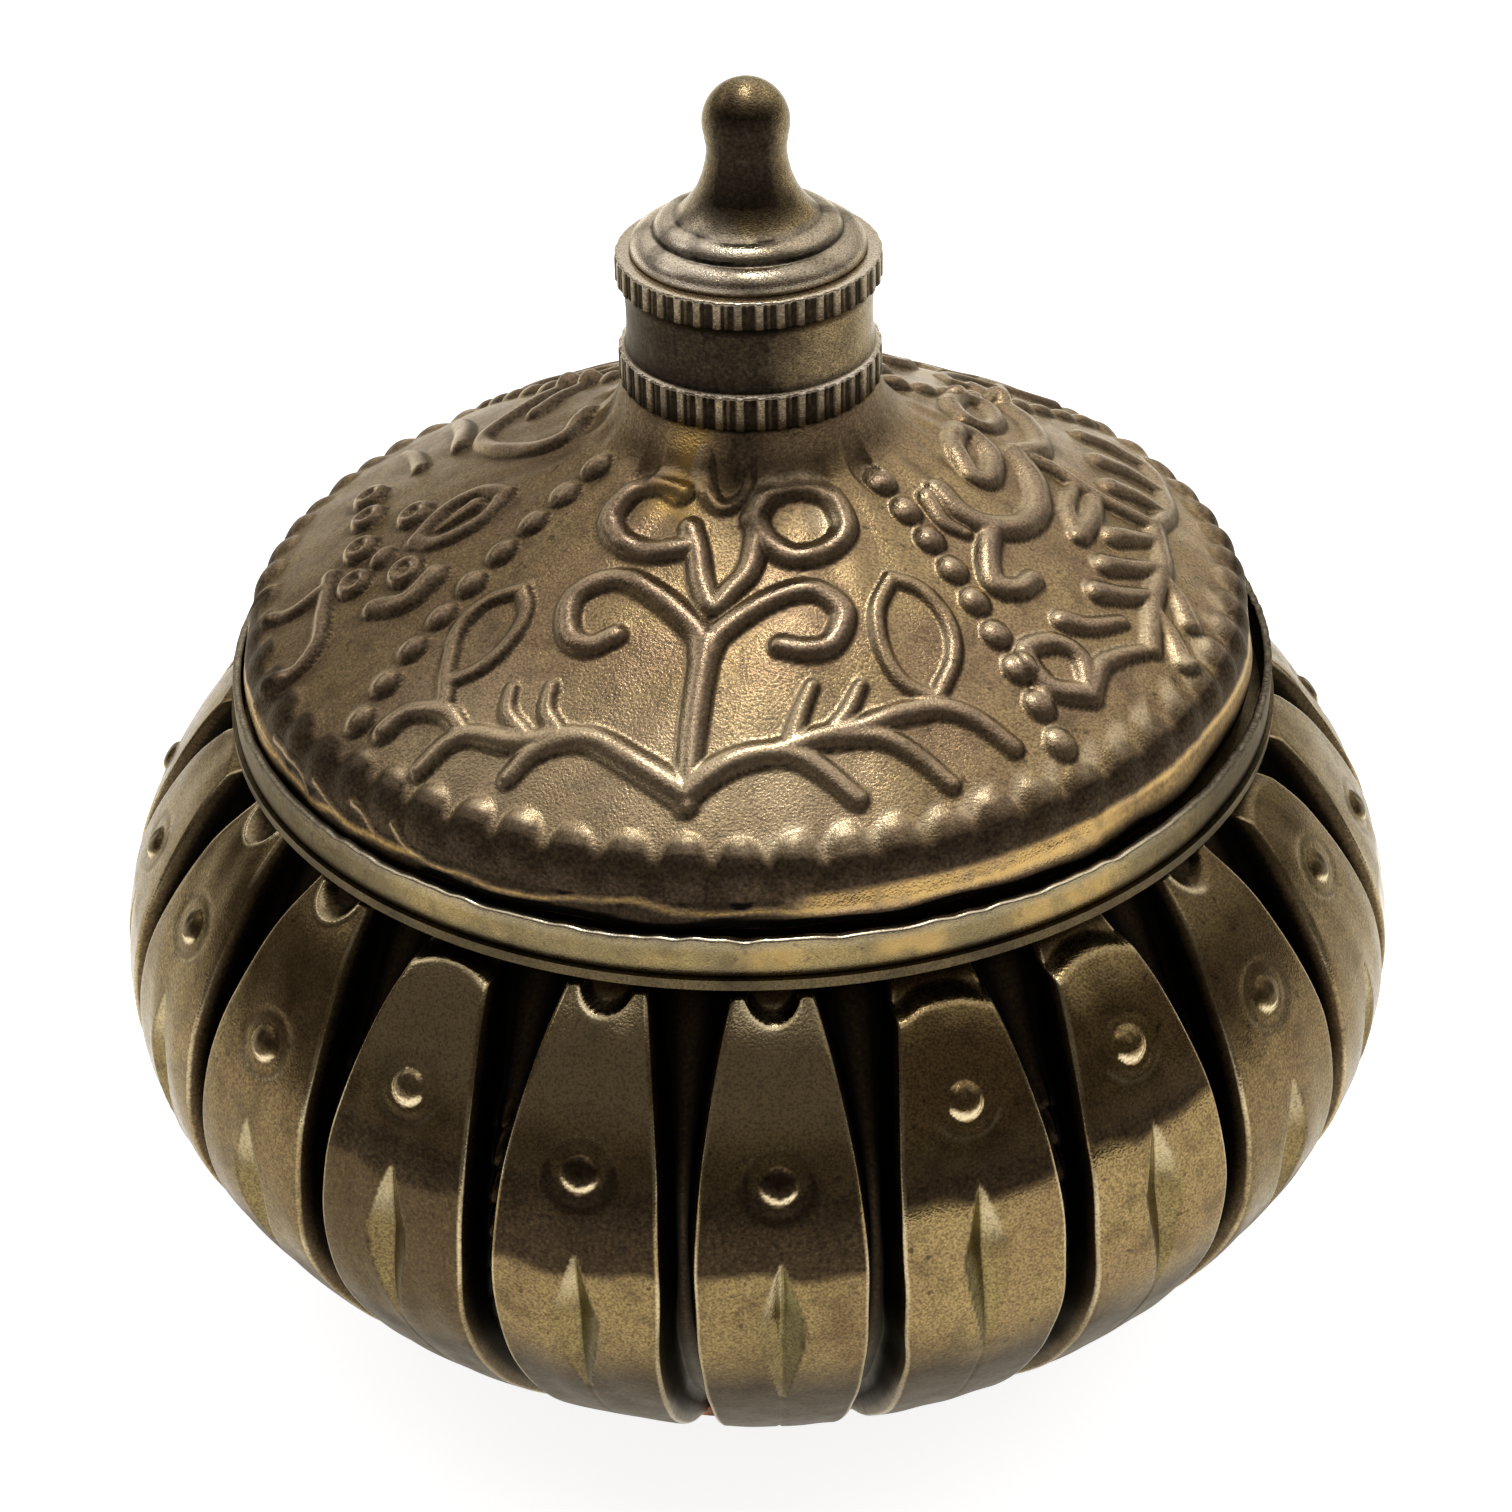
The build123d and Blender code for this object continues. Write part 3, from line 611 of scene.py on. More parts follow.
def flute_shade(number, z, ripple):
    """How dark a flute's face is: painted shade above a wavy edge, standing for a dark reflection; darker by
    a set amount under it; and painted shade at the foot.
    """
    shade_at = SHADE_HEIGHT.get(number, USUAL_SHADE_HEIGHT)
    upper = rises(z + ripple, shade_at - 0.3, shade_at + 0.3)
    foot = fades(z + 2 * ripple, 15.5, 20.8)
    fading = 0.9 * (1 - rises(z, 28.5, 32.0)) if abs(number) < 3 else 0.45
    return upper * fading + (1 - upper) * np.maximum(0.9 * foot, LOWER_DARKNESS.get(number, 0))


def flute_side(half, crest, root, lift, bead, spread):
    """Places on the right side of a flute: its rounded edge, its wall and half of the groove's bottom."""
    turn = np.array([0.33, 0.67, 1.0]) * math.pi / 2
    down = np.array([0.3, 0.65, 1.0])
    ditch = np.array([0.3, 0.65, 1.0])
    edge_y = np.sqrt(crest**2 - (half - BEVEL) ** 2)
    turn_x = half - BEVEL + BEVEL * np.sin(turn)
    turn_y = edge_y - BEVEL * (1 - np.cos(turn)) + lift
    foot_y = np.sqrt(root**2 - half**2)
    wall_x = half + spread * down
    wall_y = turn_y[:, -1:] + (foot_y - turn_y[:, -1:]) * down
    foot_angle = np.arctan2(wall_x[:, -1:], foot_y)
    ditch_angle = foot_angle + (HALF_PITCH - foot_angle) * ditch
    ditch_r = root + bead * (0.2 + 0.8 * ditch) ** 0.6
    x = np.hstack([turn_x, wall_x, ditch_r * np.sin(ditch_angle)])
    y = np.hstack([turn_y, wall_y, ditch_r * np.cos(ditch_angle)])
    return x, y


def side_marks(number, z, beading, broken):
    """How dark and how bright the places of flute_side are: dark down the wall and groove, patina with
    painted shade, less so on the left flutes' groove beads; and a painted highlight along the rounded edge.
    """
    dark = np.ones((len(z), 1)) * np.array([0.1, 0.35, 0.7, 0.95, 1.0, 1.0, 1.0, 0.95, 0.92])
    if -7 < number < -2:
        dark = dark * (1 - 0.8 * beading * np.append(np.zeros(6), [0.5, 1.0, 1.0]))
    shine = 0.2 + 0.8 * rises(z, 14.0, 20.0) * broken
    return dark, np.array([0.7, 0.75, 0.15, 0, 0, 0, 0, 0, 0]) * shine


def bowl_layers(inset, stations):
    """Points and marks of the bowl's wall at the given heights: outside, or inset for the inside."""
    crest_z, crest_r, crest_along, face_r, face_z = crest_lookup()
    floor = smooth(FLOOR)
    side = smooth(FLUTE_SIDE)
    is_outside = inset == 0

    def along_of(z):
        return np.interp(z, crest_z, crest_along)

    z = column(stations)
    crest = np.interp(z, crest_z, crest_r) - inset
    root = np.interp(z, floor[:, 1], floor[:, 0]) - inset
    s = along_of(z)
    out_r, out_z = np.interp(z, crest_z, face_r), np.interp(z, crest_z, face_z)
    beading = window(z, 9.0, 13.0, GROOVE_BEAD_TOP - 2, GROOVE_BEAD_TOP)
    bead = np.abs(np.sin(math.pi * s / GROOVE_BEAD_PITCH)) ** 0.8
    plain_half = np.maximum(np.interp(z, side[:, 1], side[:, 0]) - inset, 0.3)
    spread = np.linspace(-1, 1, 41)
    face_share = spread * (0.55 + 0.45 * spread**2)
    end = rises(z, FLUTE_TOP - 0.02, FLUTE_TOP + 0.12)
    crest = crest + (root - crest) * end
    flutes = []
    for flute in range(FLUTE_COUNT):
        number = flute if flute <= FLUTE_COUNT // 2 else flute - FLUTE_COUNT
        middle = -math.pi / 2 + 2 * HALF_PITCH * flute
        half = plain_half + 0.03 * waves(0 * s, s, 1.1, 9, 140 + flute) * beading * is_outside
        face_x = face_share * (half - BEVEL)
        height, dark, bright, worn_and_shaded, crescent = flute_relief(number, face_x, s, along_of)
        cut, cut_dark, cut_bright = flute_top_relief(number, face_x, s, along_of(FLUTE_TOP), half)
        swell = 0.03 * waves(face_x * 0.7, s, 3.0, 4, 40 + flute)
        lift = (height + swell) * (1 - end)
        raised = lift * out_r + cut * (1 - end)
        face_y = np.sqrt(crest**2 - face_x**2) + raised
        groove_bead = GROOVE_BEAD_HEIGHT * beading * bead * is_outside * (abs(number) > 1)
        narrowing = GROOVE_SPREAD * is_outside
        right_x, right_y = flute_side(half, crest, root, raised[:, -1:], groove_bead, narrowing)
        left_x, left_y = -right_x[:, -2::-1], right_y[:, -2::-1]
        local_x = np.hstack([left_x, face_x, right_x])
        local_y = np.hstack([left_y, face_y, right_y])
        local_z = np.hstack([z + 0 * left_x, z + lift * out_z, z + 0 * right_x])
        x = local_y * math.cos(middle) - local_x * math.sin(middle)
        y = local_y * math.sin(middle) + local_x * math.cos(middle)
        ripple = 0.25 * np.sin(face_x * 0.8 + flute) + 0.1 * np.sin(face_x * 1.9 + 2 * flute)
        lit = np.maximum(crescent, cut_bright)
        # Painted shade on the face, kept off the crescent and the notch rim.
        shade = flute_shade(number, z, ripple) * (1 - 0.7 * rises(worn_and_shaded, 0.2, 0.4)) * (1 - lit)
        # Painted highlight: the tops of the front flutes are lighter.
        if number in (0, -1, -2):
            bright = bright + 0.4 * rises(z, 29.5, 33.0)
        broken = rises(waves(0 * s, s, 1.6, 9, 120 + flute), -0.6, 0.6)
        deep, shine = side_marks(number, z, beading, broken)
        flutes.append((
            np.stack([x, y, local_z], axis=-1),
            np.hstack([deep[:, -2::-1], np.clip(dark + cut_dark + shade, 0, 0.93), deep]),
            np.hstack([shine[:, -2::-1], np.clip(cut_bright + bright, 0, 1), shine]),
            np.hstack([0 * left_x, worn_and_shaded, 0 * right_x]),
        ))
    return [np.concatenate(parts, axis=1) for parts in zip(*flutes)]


def make_bowl():
    """The fluted bowl, outside and inside, as one closed wall."""
    # Heights of the mesh's rows, closer together where the relief is finer
    outside = np.concatenate([
        np.linspace(0.8, 10, 30, endpoint=False),
        np.linspace(10, 28.5, 100, endpoint=False),
        np.linspace(28.5, 34.5, 50, endpoint=False),
        np.linspace(34.5, FLUTE_TOP, 24),
        np.linspace(FLUTE_TOP + 0.04, FLUTE_TOP + 0.16, 4),
        [37.1, 37.4],
    ])
    inside = np.concatenate([[37.4, 37.0, 36.6, 36.2, 35.9], np.linspace(35.0, 2.2, 36), [1.4, 0.8]])
    outer = bowl_layers(0.0, outside)
    inner = bowl_layers(SHEET, inside)
    points, dark, bright, worn_and_shaded = (np.concatenate([a, b], axis=0) for a, b in zip(outer, inner))
    marks = {"patina_and_shade": dark, "edge": bright, "worn_and_shaded": worn_and_shaded}
    grid_piece("fluted_bowl", points, "bowl", "body_shell", bowl_brass(), marks)


# Lid. Places are millimetres from the axis and degrees round it, 0 towards +X. Marks go from 0 to 1.

def stroke_relief(x, y, points, start_width, end_width):
    """Share of full height, from 0 to 1, of one stroke at the places (x, y)."""
    line = smooth(points, 6)
    reach = max(start_width, end_width) * 2
    low, high = line.min(0) - reach, line.max(0) + reach
    near = (x > low[0]) & (x < high[0]) & (y > low[1]) & (y < high[1])
    result = np.zeros(x.shape)
    if not near.any():
        return result
    place = np.stack([x[near], y[near]], axis=-1)
    best = np.zeros(len(place))
    total = len(line) - 1
    for i in range(total):
        a, b = line[i], line[i + 1]
        span = b - a
        t = np.clip(((place - a) @ span) / max(span @ span, 1e-9), 0, 1)
        gap = np.linalg.norm(place - (a + t[:, None] * span), axis=1)
        width = (start_width + (end_width - start_width) * (i + t) / total) * 1.4
        best = np.maximum(best, np.clip(1 - (gap / width) ** 2, 0, 1) ** 0.9 * np.minimum(1, width / 0.9))
    result[near] = best
    return result


def rounded(gap, reach):
    """Share of full height of a bead at a distance from its middle."""
    return np.clip(1 - (gap / reach) ** 2, 0, 1) ** 0.8


def lid_lines(radius, angle):
    """Share of full height of the lid's raised lines."""
    lines = np.zeros(radius.shape)
    for centre, motif in FIELDS:
        turn = np.mod(angle - math.radians(centre) + math.pi, 2 * math.pi) - math.pi
        inside = np.abs(turn) < math.radians(50)
        flat = radius[inside] / math.cos(LID_SLOPE)
        x = flat * np.sin(turn[inside] * math.cos(LID_SLOPE))
        y = flat * np.cos(turn[inside] * math.cos(LID_SLOPE))
        part = lines[inside]
        for start_width, end_width, points in motif:
            part = np.maximum(part, stroke_relief(x, y, points, start_width, end_width))
        if motif is CLUSTER:
            for ring_x, ring_y in CLUSTER_RINGS:
                gap = np.hypot(x - ring_x, y - ring_y)
                part = np.maximum(part, rounded(gap - CLUSTER_RING_RADIUS, CLUSTER_RING_WIDTH))
                part = np.maximum(part, 0.7 * rounded(gap, CLUSTER_DOT_RADIUS))
        lines[inside] = part
    return lines


def lid_bead_rows(radius, angle):
    """Share of full height of the rows of beads between the lid's fields."""
    rows = np.zeros(radius.shape)
    for at_rim, drift in BEAD_ROWS:
        for share in np.linspace(0, 1, BEADS_IN_ROW):
            place = BEAD_ROW_START + (BEAD_ROW_END - BEAD_ROW_START) * share
            turn = math.radians(at_rim + drift * (1 - share))
            gap = np.hypot(radius - place, radius * np.sin(angle - turn))
            on_this_side = np.cos(angle - turn) > 0
            rows = np.maximum(rows, rounded(gap, BEAD_REACH) * on_this_side)
    return rows


def rim_beads(radius, angle, degrees):
    """Share of full height of the ring of soft beads at the lid's rim."""
    pitch = 2 * math.pi / RIM_BEAD_COUNT
    sway = 0.12 * np.sin(angle * 7 + 1) + 0.1 * np.sin(angle * 19)
    off = np.mod(angle + 0.01 * np.sin(angle * 5) + pitch / 2, pitch) - pitch / 2
    beyond = radius - RIM_BEAD_RADIUS - sway
    gap = np.hypot(off * RIM_BEAD_RADIUS, beyond / np.where(beyond > 0, 1.15, 0.9))
    at_front = 0.3 * window(degrees, -92, -80, -35, -20)
    at_left = 0.35 * fades(degrees, -150, -140)
    uneven = (1 - (at_front + at_left)) * (0.9 + 0.1 * np.sin(angle * 11))
    return np.clip(1 - (gap / RIM_BEAD_REACH) ** 2, 0, 1) ** 1.2 * uneven


def crease_relief(degrees, z):
    """Share of full height, from 0 to 1, of the creases in the rim's wall."""
    ridge = np.zeros(z.shape)
    for crease in CREASES:
        points = [(at * MM_PER_DEGREE, height) for at, height in crease]
        ridge = np.maximum(ridge, stroke_relief(degrees * MM_PER_DEGREE, z, points, 0.2, 0.12))
    return rises(ridge, 0.0, 0.35)


def rim_marks(radius, z, angle, degrees):
    """How dark, how bright and how amber the rim's wall is: painted shade on a dark shoulder and a painted
    shadow in the gap at its bottom, over a line and wall in amber, partly old lacquer and partly a painted
    highlight.
    """
    ripple = 0.12 * round_waves(angle, 60, 12)
    line = 41.4 + ripple + 0.5 * peak(degrees, -104.5, 4)
    front = window(degrees, -166, -150, -89, -83)
    rest = 1 - front
    near_line = peak(z, line, 0.14)
    shoulder = rises(radius, 27.5, 28.1)
    above = rises(z, 41.95, 42.35)
    right = window(degrees, -56, -44, 50, 70) * fades(z, 41.65, 41.85)
    dark = front * shoulder * (0.93 - 0.5 * near_line) + rest * rises(radius, 27.7, 28.2) * 0.9 * above
    # Painted shadow in the gap under the rim.
    bottom = fades(z + 0.5 * ripple, 40.95 - 0.2 * rest, 41.2 - 0.2 * rest)
    dark = np.maximum(dark, bottom * (1 - 0.4 * fades(degrees, -134, -126)))
    dark = np.maximum(dark, 0.55 * right)
    bright = rest * shoulder * 0.05 * (1 - above) * (1 - right)
    folded = 0.35 * fades(degrees, -130, -125) * fades(z, 41.7, 42.0)
    amber = front * (near_line + folded) + rest * shoulder * 0.85 * (1 - above)
    return dark, bright, amber * rises(z, 40.9, 41.3)


def stroke_marks(strokes, rim, stations, angle, radius, field):
    """How dark and how bright the relief is, as if lit from the upper left, with a soft shadow under it."""
    raised = np.maximum(strokes, rim)
    outward = -np.gradient(strokes, stations, axis=0)
    sideways = np.gradient(strokes, angle[0], axis=1) / radius
    across = outward * np.cos(angle) - sideways * np.sin(angle)
    away = outward * np.sin(angle) + sideways * np.cos(angle)
    to_light = 0.6 * across - 0.8 * away
    above = np.zeros(radius.shape)
    for step in range(1, SHADOW_STEPS):
        above = np.maximum(above, (1 - step / SHADOW_STEPS) * np.roll(strokes, -step, axis=0))
    foot = 0.2 * window(raised, 0.01, 0.2, 0.2, 0.6)
    flank = 0.7 * fades(to_light, -0.8, -0.05)
    shadow = 0.5 * rises(above, 0.05, 0.9) * (1 - rises(strokes, 0.1, 0.5)) * field
    return foot + flank + shadow, 0.7 * rises(to_light, 0.05, 0.9)


def bead_marks(rim, radius, around, degrees):
    """How dark the rim's beads are at their inner side, as painted shade, and how bright on top and in sandy
    patches above them at the front, as painted highlights.
    """
    at_rim = rises(radius, RIM_BEAD_RADIUS - 0.85, RIM_BEAD_RADIUS - 0.35)
    dark = 0.75 * rises(rim, 0.1, 0.5) * at_rim * (0.6 + 0.4 * fades(degrees, -95, -85))
    front = window(degrees, -95, -85, -15, 0)
    sandy = rises(waves(around, 2 * radius, 1.0, 90, 61), -0.5, 0.6) * front
    bright = 0.7 * sandy * window(radius, 25.9, 26.6, 27.2, 27.7)
    return dark, bright + 0.35 * rises(rim, 0.1, 0.5) * fades(radius, 26.9, 27.3)


def neck_marks(radius, degrees):
    """How dark and how bright the lid is round its neck, with painted shade under the knob and a painted
    glint to the front right, and where lacquer has run down from it.
    """
    run = peak(degrees, -118, 9)
    dark = (0.6 + 0.3 * peak(degrees, -95, 14)) * fades(radius, 7.5, 9.2) * (1 - 0.9 * run)
    dark = np.maximum(dark, 0.5 * peak(degrees, -92, 8) * fades(radius, 10.5, 13.5))
    bright = 0.6 * peak(degrees, -71, 5) * peak(radius, 10.6, 1.0)
    return dark, bright, run * fades(radius, 9.6, 11.2)


def make_lid():
    """The embossed dome, its turned-in rim and its flat top under the knob, as one closed wall."""
    angle = full_turn(1000)
    curve = smooth(LID)
    along = lengths(curve)
    # Places of the mesh's rows along the outline, from the rim up
    stations = np.concatenate([
        np.linspace(0, 4.5, 30, endpoint=False),
        np.linspace(4.5, 25.5, 118, endpoint=False),
        np.linspace(25.5, along[-1], 22),
    ])
    slope = np.gradient(curve, along, axis=0)
    lookups = (curve[:, 0], curve[:, 1], slope[:, 1], -slope[:, 0])
    r, z, out_r, out_z = (column(np.interp(stations, along, values)) for values in lookups)
    radius, around, up = r + 0 * angle, angle + 0 * r, z + 0 * angle
    degrees = np.degrees(np.mod(around + math.pi, 2 * math.pi) - math.pi)
    lines = lid_lines(radius, around)
    rows = lid_bead_rows(radius, around)
    rim = rim_beads(radius, around, degrees)
    height = LINE_HEIGHT * lines + BEAD_HEIGHT * rows + RIM_BEAD_HEIGHT * rim
    field = window(radius, 8.4, 10.0, 27.6, 28.4)
    lobes = rises(round_waves(around, 24, 31), -0.1, 0.9) * peak(radius, 8.6, 0.9)
    swell = 0.07 * waves(around, radius, 2.5, 40, 3) * field
    wrinkle = (0.09 * waves(around, up, 1.2, 26, 5) - 0.12) * fades(up, 42.0, 43.6)
    crease = crease_relief(degrees, up)
    lift = height * rises(radius, 7.8, 9.0) - 0.3 * lobes + swell + wrinkle + CREASE_HEIGHT * crease
    ragged = 0.16 * round_waves(angle, 34, 9)
    dropped = 0.9 * window(degrees[:1], -72, -54, 60, 75) + 0.6 * fades(degrees[:1], -136, -124)
    outer_r = r + lift * out_r
    outer_z = z + lift * out_z + ragged * fades(up, 40.4, 42.2) - dropped * fades(up, 40.4, 41.6)
    turn_r = column([29.0, 28.75, 28.62]) + 0.03 * round_waves(angle, 34, 9)
    turn_z = column([40.32, 40.3, 40.42]) + ragged - dropped
    back = slice(4, -8, 3)
    inner_r = (outer_r - SHEET * out_r)[back]
    inner_z = (outer_z - SHEET * out_z)[back]
    # The flat top, in to the hole for the knob's stem and back out underneath
    top = LID[-1][1]
    under = top - SHEET
    cap_r = column([6.6, 4.0, LID_HOLE_RADIUS, LID_HOLE_RADIUS, 3.8, 5.6, 6.1]) + 0 * angle
    cap_z = column([top, top, top, under, under, under, 55.6]) + 0 * angle
    rows_r = np.concatenate([turn_r[::-1], outer_r, cap_r, inner_r[::-1]])
    rows_z = np.concatenate([turn_z[::-1], outer_z, cap_z, inner_z[::-1]])
    x = rows_r * np.cos(angle)
    lean = math.tan(LID_TILT) * rises(rows_r, 6.0, 20.0)
    shift = KNOB_SHIFT + (RIM_SHIFT - KNOB_SHIFT) * rises(rows_r, 9.0, 24.0)
    points = np.stack([x + shift, rows_r * np.sin(angle), rows_z + lean * x], axis=-1)
    strokes = np.maximum(lines, rows)
    raised = np.maximum(strokes, rim)
    wall_dark, wall_bright, amber = rim_marks(radius, up, around, degrees)
    stroke_dark, stroke_bright = stroke_marks(strokes, rim, stations, angle, radius, field)
    bead_dark, bead_bright = bead_marks(rim, radius, around, degrees)
    neck_dark, neck_bright, lacquer_run = neck_marks(radius, degrees)
    # Painted shade on the left of the field and a painted highlight on its front; painted shade in the lobes
    # round the neck, and painted highlights on the creases.
    left_dark = 0.4 * fades(np.cos(around), -0.85, -0.5) * field * (1 - raised)
    front = window(degrees, -150, -130, -88, -66)
    front_bright = 0.4 * rises(radius, 18.0, 24.0) * front * field
    dark = wall_dark + stroke_dark + bead_dark + left_dark + 0.4 * lobes + neck_dark
    dark = np.where(up > 42.0, np.minimum(dark, 0.9), dark) - 0.75 * crease
    bright = wall_bright + stroke_bright + bead_bright + front_bright + neck_bright
    marks = {}
    for mark, values, elsewhere in (
        ("patina_and_shade", np.clip(dark, 0, 1), 0.2),
        ("edge", np.clip(bright + 0.25 * crease, 0, 1), 0.0),
        ("worn_and_shaded", 0.6 * rises(raised, 0.3, 0.9), 0.0),
        ("amber", amber + lacquer_run, 0.0),
    ):
        marks[mark] = np.full(rows_r.shape, elsewhere)
        marks[mark][len(turn_r):len(turn_r) + len(values)] = values
    grid_piece("embossed_lid", points, "lid", "lid_shell", lid_brass(), marks)


def make_collar():
    """The upright strip round the mouth, with an uneven sheared top edge."""
    low, high = (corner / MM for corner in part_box("neck_collar"))
    angle = full_turn(900)
    outer, bottom, top = high.x, low.z, high.z
    inner = outer - COLLAR_SHEET
    bur = 0.05 * round_waves(angle, 150, 21) + 0.05 * round_waves(angle, 40, 22)
    sheared = 0.12 * np.abs(np.sin(angle * 75)) * rises(np.cos(angle - 0.5), 0.3, 0.8)
    rise = bur + sheared - 0.08
    bulge = 0.03 * round_waves(angle, 16, 23)
    # Radius, height, how much the shears moved it, how dark (painted shade at the foot and inside), how
    # bright (painted highlight on the top edge)
    rows = [
        (outer - 0.05, bottom, 0, 0.5, 0), (outer, bottom + 0.1, 0, 0.2, 0.1),
        (outer + 0.02, bottom + 0.8, 0, 0, 0), (outer + 0.02, bottom + 1.5, 0, 0, 0),
        (outer, top - 0.12, 0.7, 0, 0.2), (outer - 0.06, top - 0.01, 1, 0, 0.9),
        (outer - 0.22, top, 1, 0, 1), (inner + 0.06, top - 0.01, 1, 0, 0.9),
        (inner, top - 0.12, 0.7, 0.3, 0.2), (inner, bottom + 1.2, 0, 0.6, 0),
        (inner, bottom, 0, 0.8, 0),
    ]
    plain_r, plain_z, moved, dark, bright = (column(values) for values in zip(*rows))
    z = plain_z + moved * rise
    # Painted shade on the band's left and right sides.
    side_shade = (0.78 + 0.08 * np.cos(angle)) * rises(np.abs(np.cos(angle)), 0.55, 0.85)
    stained = rises(round_waves(angle, 40, 24), -0.6, 1.0) * rises(np.cos(angle - 5.1), 0.7, 0.95)
    marks = {"patina_and_shade": dark + side_shade, "edge": bright, "amber": np.where(z < top - 0.4, 0.45, 0.0) * stained}
    points = round_points(plain_r + bulge, z, angle)
    grid_piece("sheared_collar", points, "bowl", "neck_collar", band_brass(), marks)


def make_sleeve():
    """The hollow sleeve with its two toothed bands."""
    low, high = (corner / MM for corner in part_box("knurled_sleeve"))
    per_tooth = 16
    angle = full_turn(TOOTH_COUNT * per_tooth)
    radius, bottom, top = high.x, low.z, high.z
    share = np.mod(np.arange(angle.size), per_tooth)[None, :] / per_tooth
    ridge = fades(np.abs(share - 0.3), 0.15, 0.22)
    rib = 0.45 * fades(np.abs(share - 0.74), 0.04, 0.10)
    tooth = np.maximum(ridge, rib)
    lower, upper = bottom + LOWER_KNURL, top - UPPER_KNURL
    waist = SLEEVE_WAIST
    under_lid = top - SLEEVE_LID
    # Radius, height, how toothed, how dark (patina and painted shade), how bright (painted highlights on
    # edges and the top)
    rows = [
        (radius - 0.5, bottom, 0, 0.8, 0), (radius - 0.12, bottom + 0.02, 0.8, 0.5, 0),
        (radius, bottom + 0.14, 1, 0.2, 0), (radius, bottom + LOWER_KNURL / 2, 1, 0.2, 0),
        (radius, lower - 0.14, 1, 0.1, 0), (radius - 0.03, lower - 0.04, 0.4, 0, 0.8),
        (waist + 0.14, lower + 0.02, 0, 0, 0.8), (waist + 0.02, lower + 0.12, 0, 0.5, 0.1),
        (waist - 0.06, lower + 0.6, 0, 0.35, 0), (waist - 0.1, bottom + 3.4, 0, 0.3, 0),
        (waist - 0.1, bottom + 4.2, 0, 0.3, 0), (waist - 0.06, upper - 0.6, 0, 0.3, 0),
        (waist + 0.02, upper - 0.12, 0, 0.6, 0), (waist + 0.14, upper - 0.02, 0, 0.8, 0),
        (radius - 0.1, upper, 0.8, 0.4, 0), (radius, upper + 0.12, 1, 0.2, 0),
        (radius, top - 0.8, 1, 0.2, 0), (radius, top - 0.2, 1, 0.1, 0.1),
        (radius - 0.02, top - 0.1, 0.6, 0, 0.5), (radius - 0.08, top - 0.02, 0.1, 0, 0.7),
        (radius - 0.2, top + 0.01, 0, 0, 0.9), (FINIAL_RADIUS + 0.1, top + 0.01, 0, 0, 0.8),
        (FINIAL_RADIUS - 0.02, top, 0, 0.6, 0.2), (3.0, top - 0.02, 0, 0, 0),
        (STEM_HOLE_RADIUS, top - 0.02, 0, 0, 0), (STEM_HOLE_RADIUS, under_lid, 0, 0, 0),
        (SLEEVE_BORE, under_lid, 0, 0, 0), (SLEEVE_BORE, bottom, 0, 0, 0),
    ]
    plain_r, z, toothed, dark, bright = (column(values) for values in zip(*rows))
    worn_teeth = 0.75 + 0.25 * round_waves(angle, 60, 51)
    hollow = toothed * (1 - tooth)
    tired = random.uniform(0.1, 0.5, TOOTH_COUNT).repeat(per_tooth)[None, :]
    # Painted shade on the waist everywhere but its right side.
    facing = 0.6 - 0.6 * rises(np.cos(angle), 0.05, 0.6)
    on_waist = window(z, lower, lower + 0.15, upper - 0.15, upper)
    marks = {
        "patina_and_shade": np.clip(dark + 0.65 * hollow + tired * toothed + facing * on_waist, 0, 0.93),
        "edge": np.clip(bright + 0.15 * toothed * ridge, 0, 1),
    }
    points = round_points(plain_r - TOOTH_DEPTH * worn_teeth * hollow, z, angle, KNOB_SHIFT)
    grid_piece("toothed_sleeve", points, "lid", "knurled_sleeve", knob_brass(), marks)


def make_finial():
    """The turned finial with its hidden stem."""
    low, high = (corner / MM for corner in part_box("finial"))
    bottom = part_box("knurled_sleeve")[1].z / MM
    ball = high.z - BALL_RADIUS
    sweep = np.linspace(-0.32, math.pi / 2 - 0.02, 22)
    outline = [
        (STEM_RADIUS - 0.01, low.z), (STEM_RADIUS, low.z + 0.05), (STEM_RADIUS, bottom - 0.05),
        (STEM_RADIUS, bottom),
    ]
    outline += [(r, bottom + z) for r, z in FINIAL_OUTLINE]
    outline += [(BALL_RADIUS * math.cos(t), ball + BALL_RADIUS * math.sin(t)) for t in sweep]
    r, height = (column(values) for values in zip(*outline))
    angle = full_turn(160)
    z = height - bottom
    # Dark in the creases between mouldings, patina with painted shade; painted shade on the neck, most at the
    # front, and at the foot; painted highlights on the mouldings, the top of the ball and the left of the
    # flare.
    creases = 0.9 * peak(r, FIRST_CREASE_RADIUS, 0.12) + 0.7 * peak(r, SECOND_CREASE_RADIUS, 0.14)
    front = 0.35 + 0.65 * fades(np.sin(angle + 0.12), -0.85, -0.35)
    neck = rises(z, 2.3, 3.2) * (1 - rises(z, 8.1, 9.3)) * front
    mottle = 0.5 * rises(waves(angle, 3 * z, 1.0, 14, 71), 0.0, 1.2) * fades(z, 2.4, 3.0)
    foot = 0.2 * fades(z, 0.2, 0.6)
    lit = 0.4 * fades(z, 1.9, 2.4) + 0.9 * rises(z, 9.3, 10.3)
    lit = lit + 0.5 * fades(z, 2.0, 4.0) * fades(np.cos(angle), -0.5, -0.1)
    marks = {"patina_and_shade": np.clip(creases + 0.92 * neck + mottle + foot, 0, 0.95), "edge": np.clip(lit, 0, 1)}
    points = round_points(r, height, angle, KNOB_SHIFT)
    grid_piece("turned_finial", points, "lid", "finial", knob_brass(), marks, closed=False)


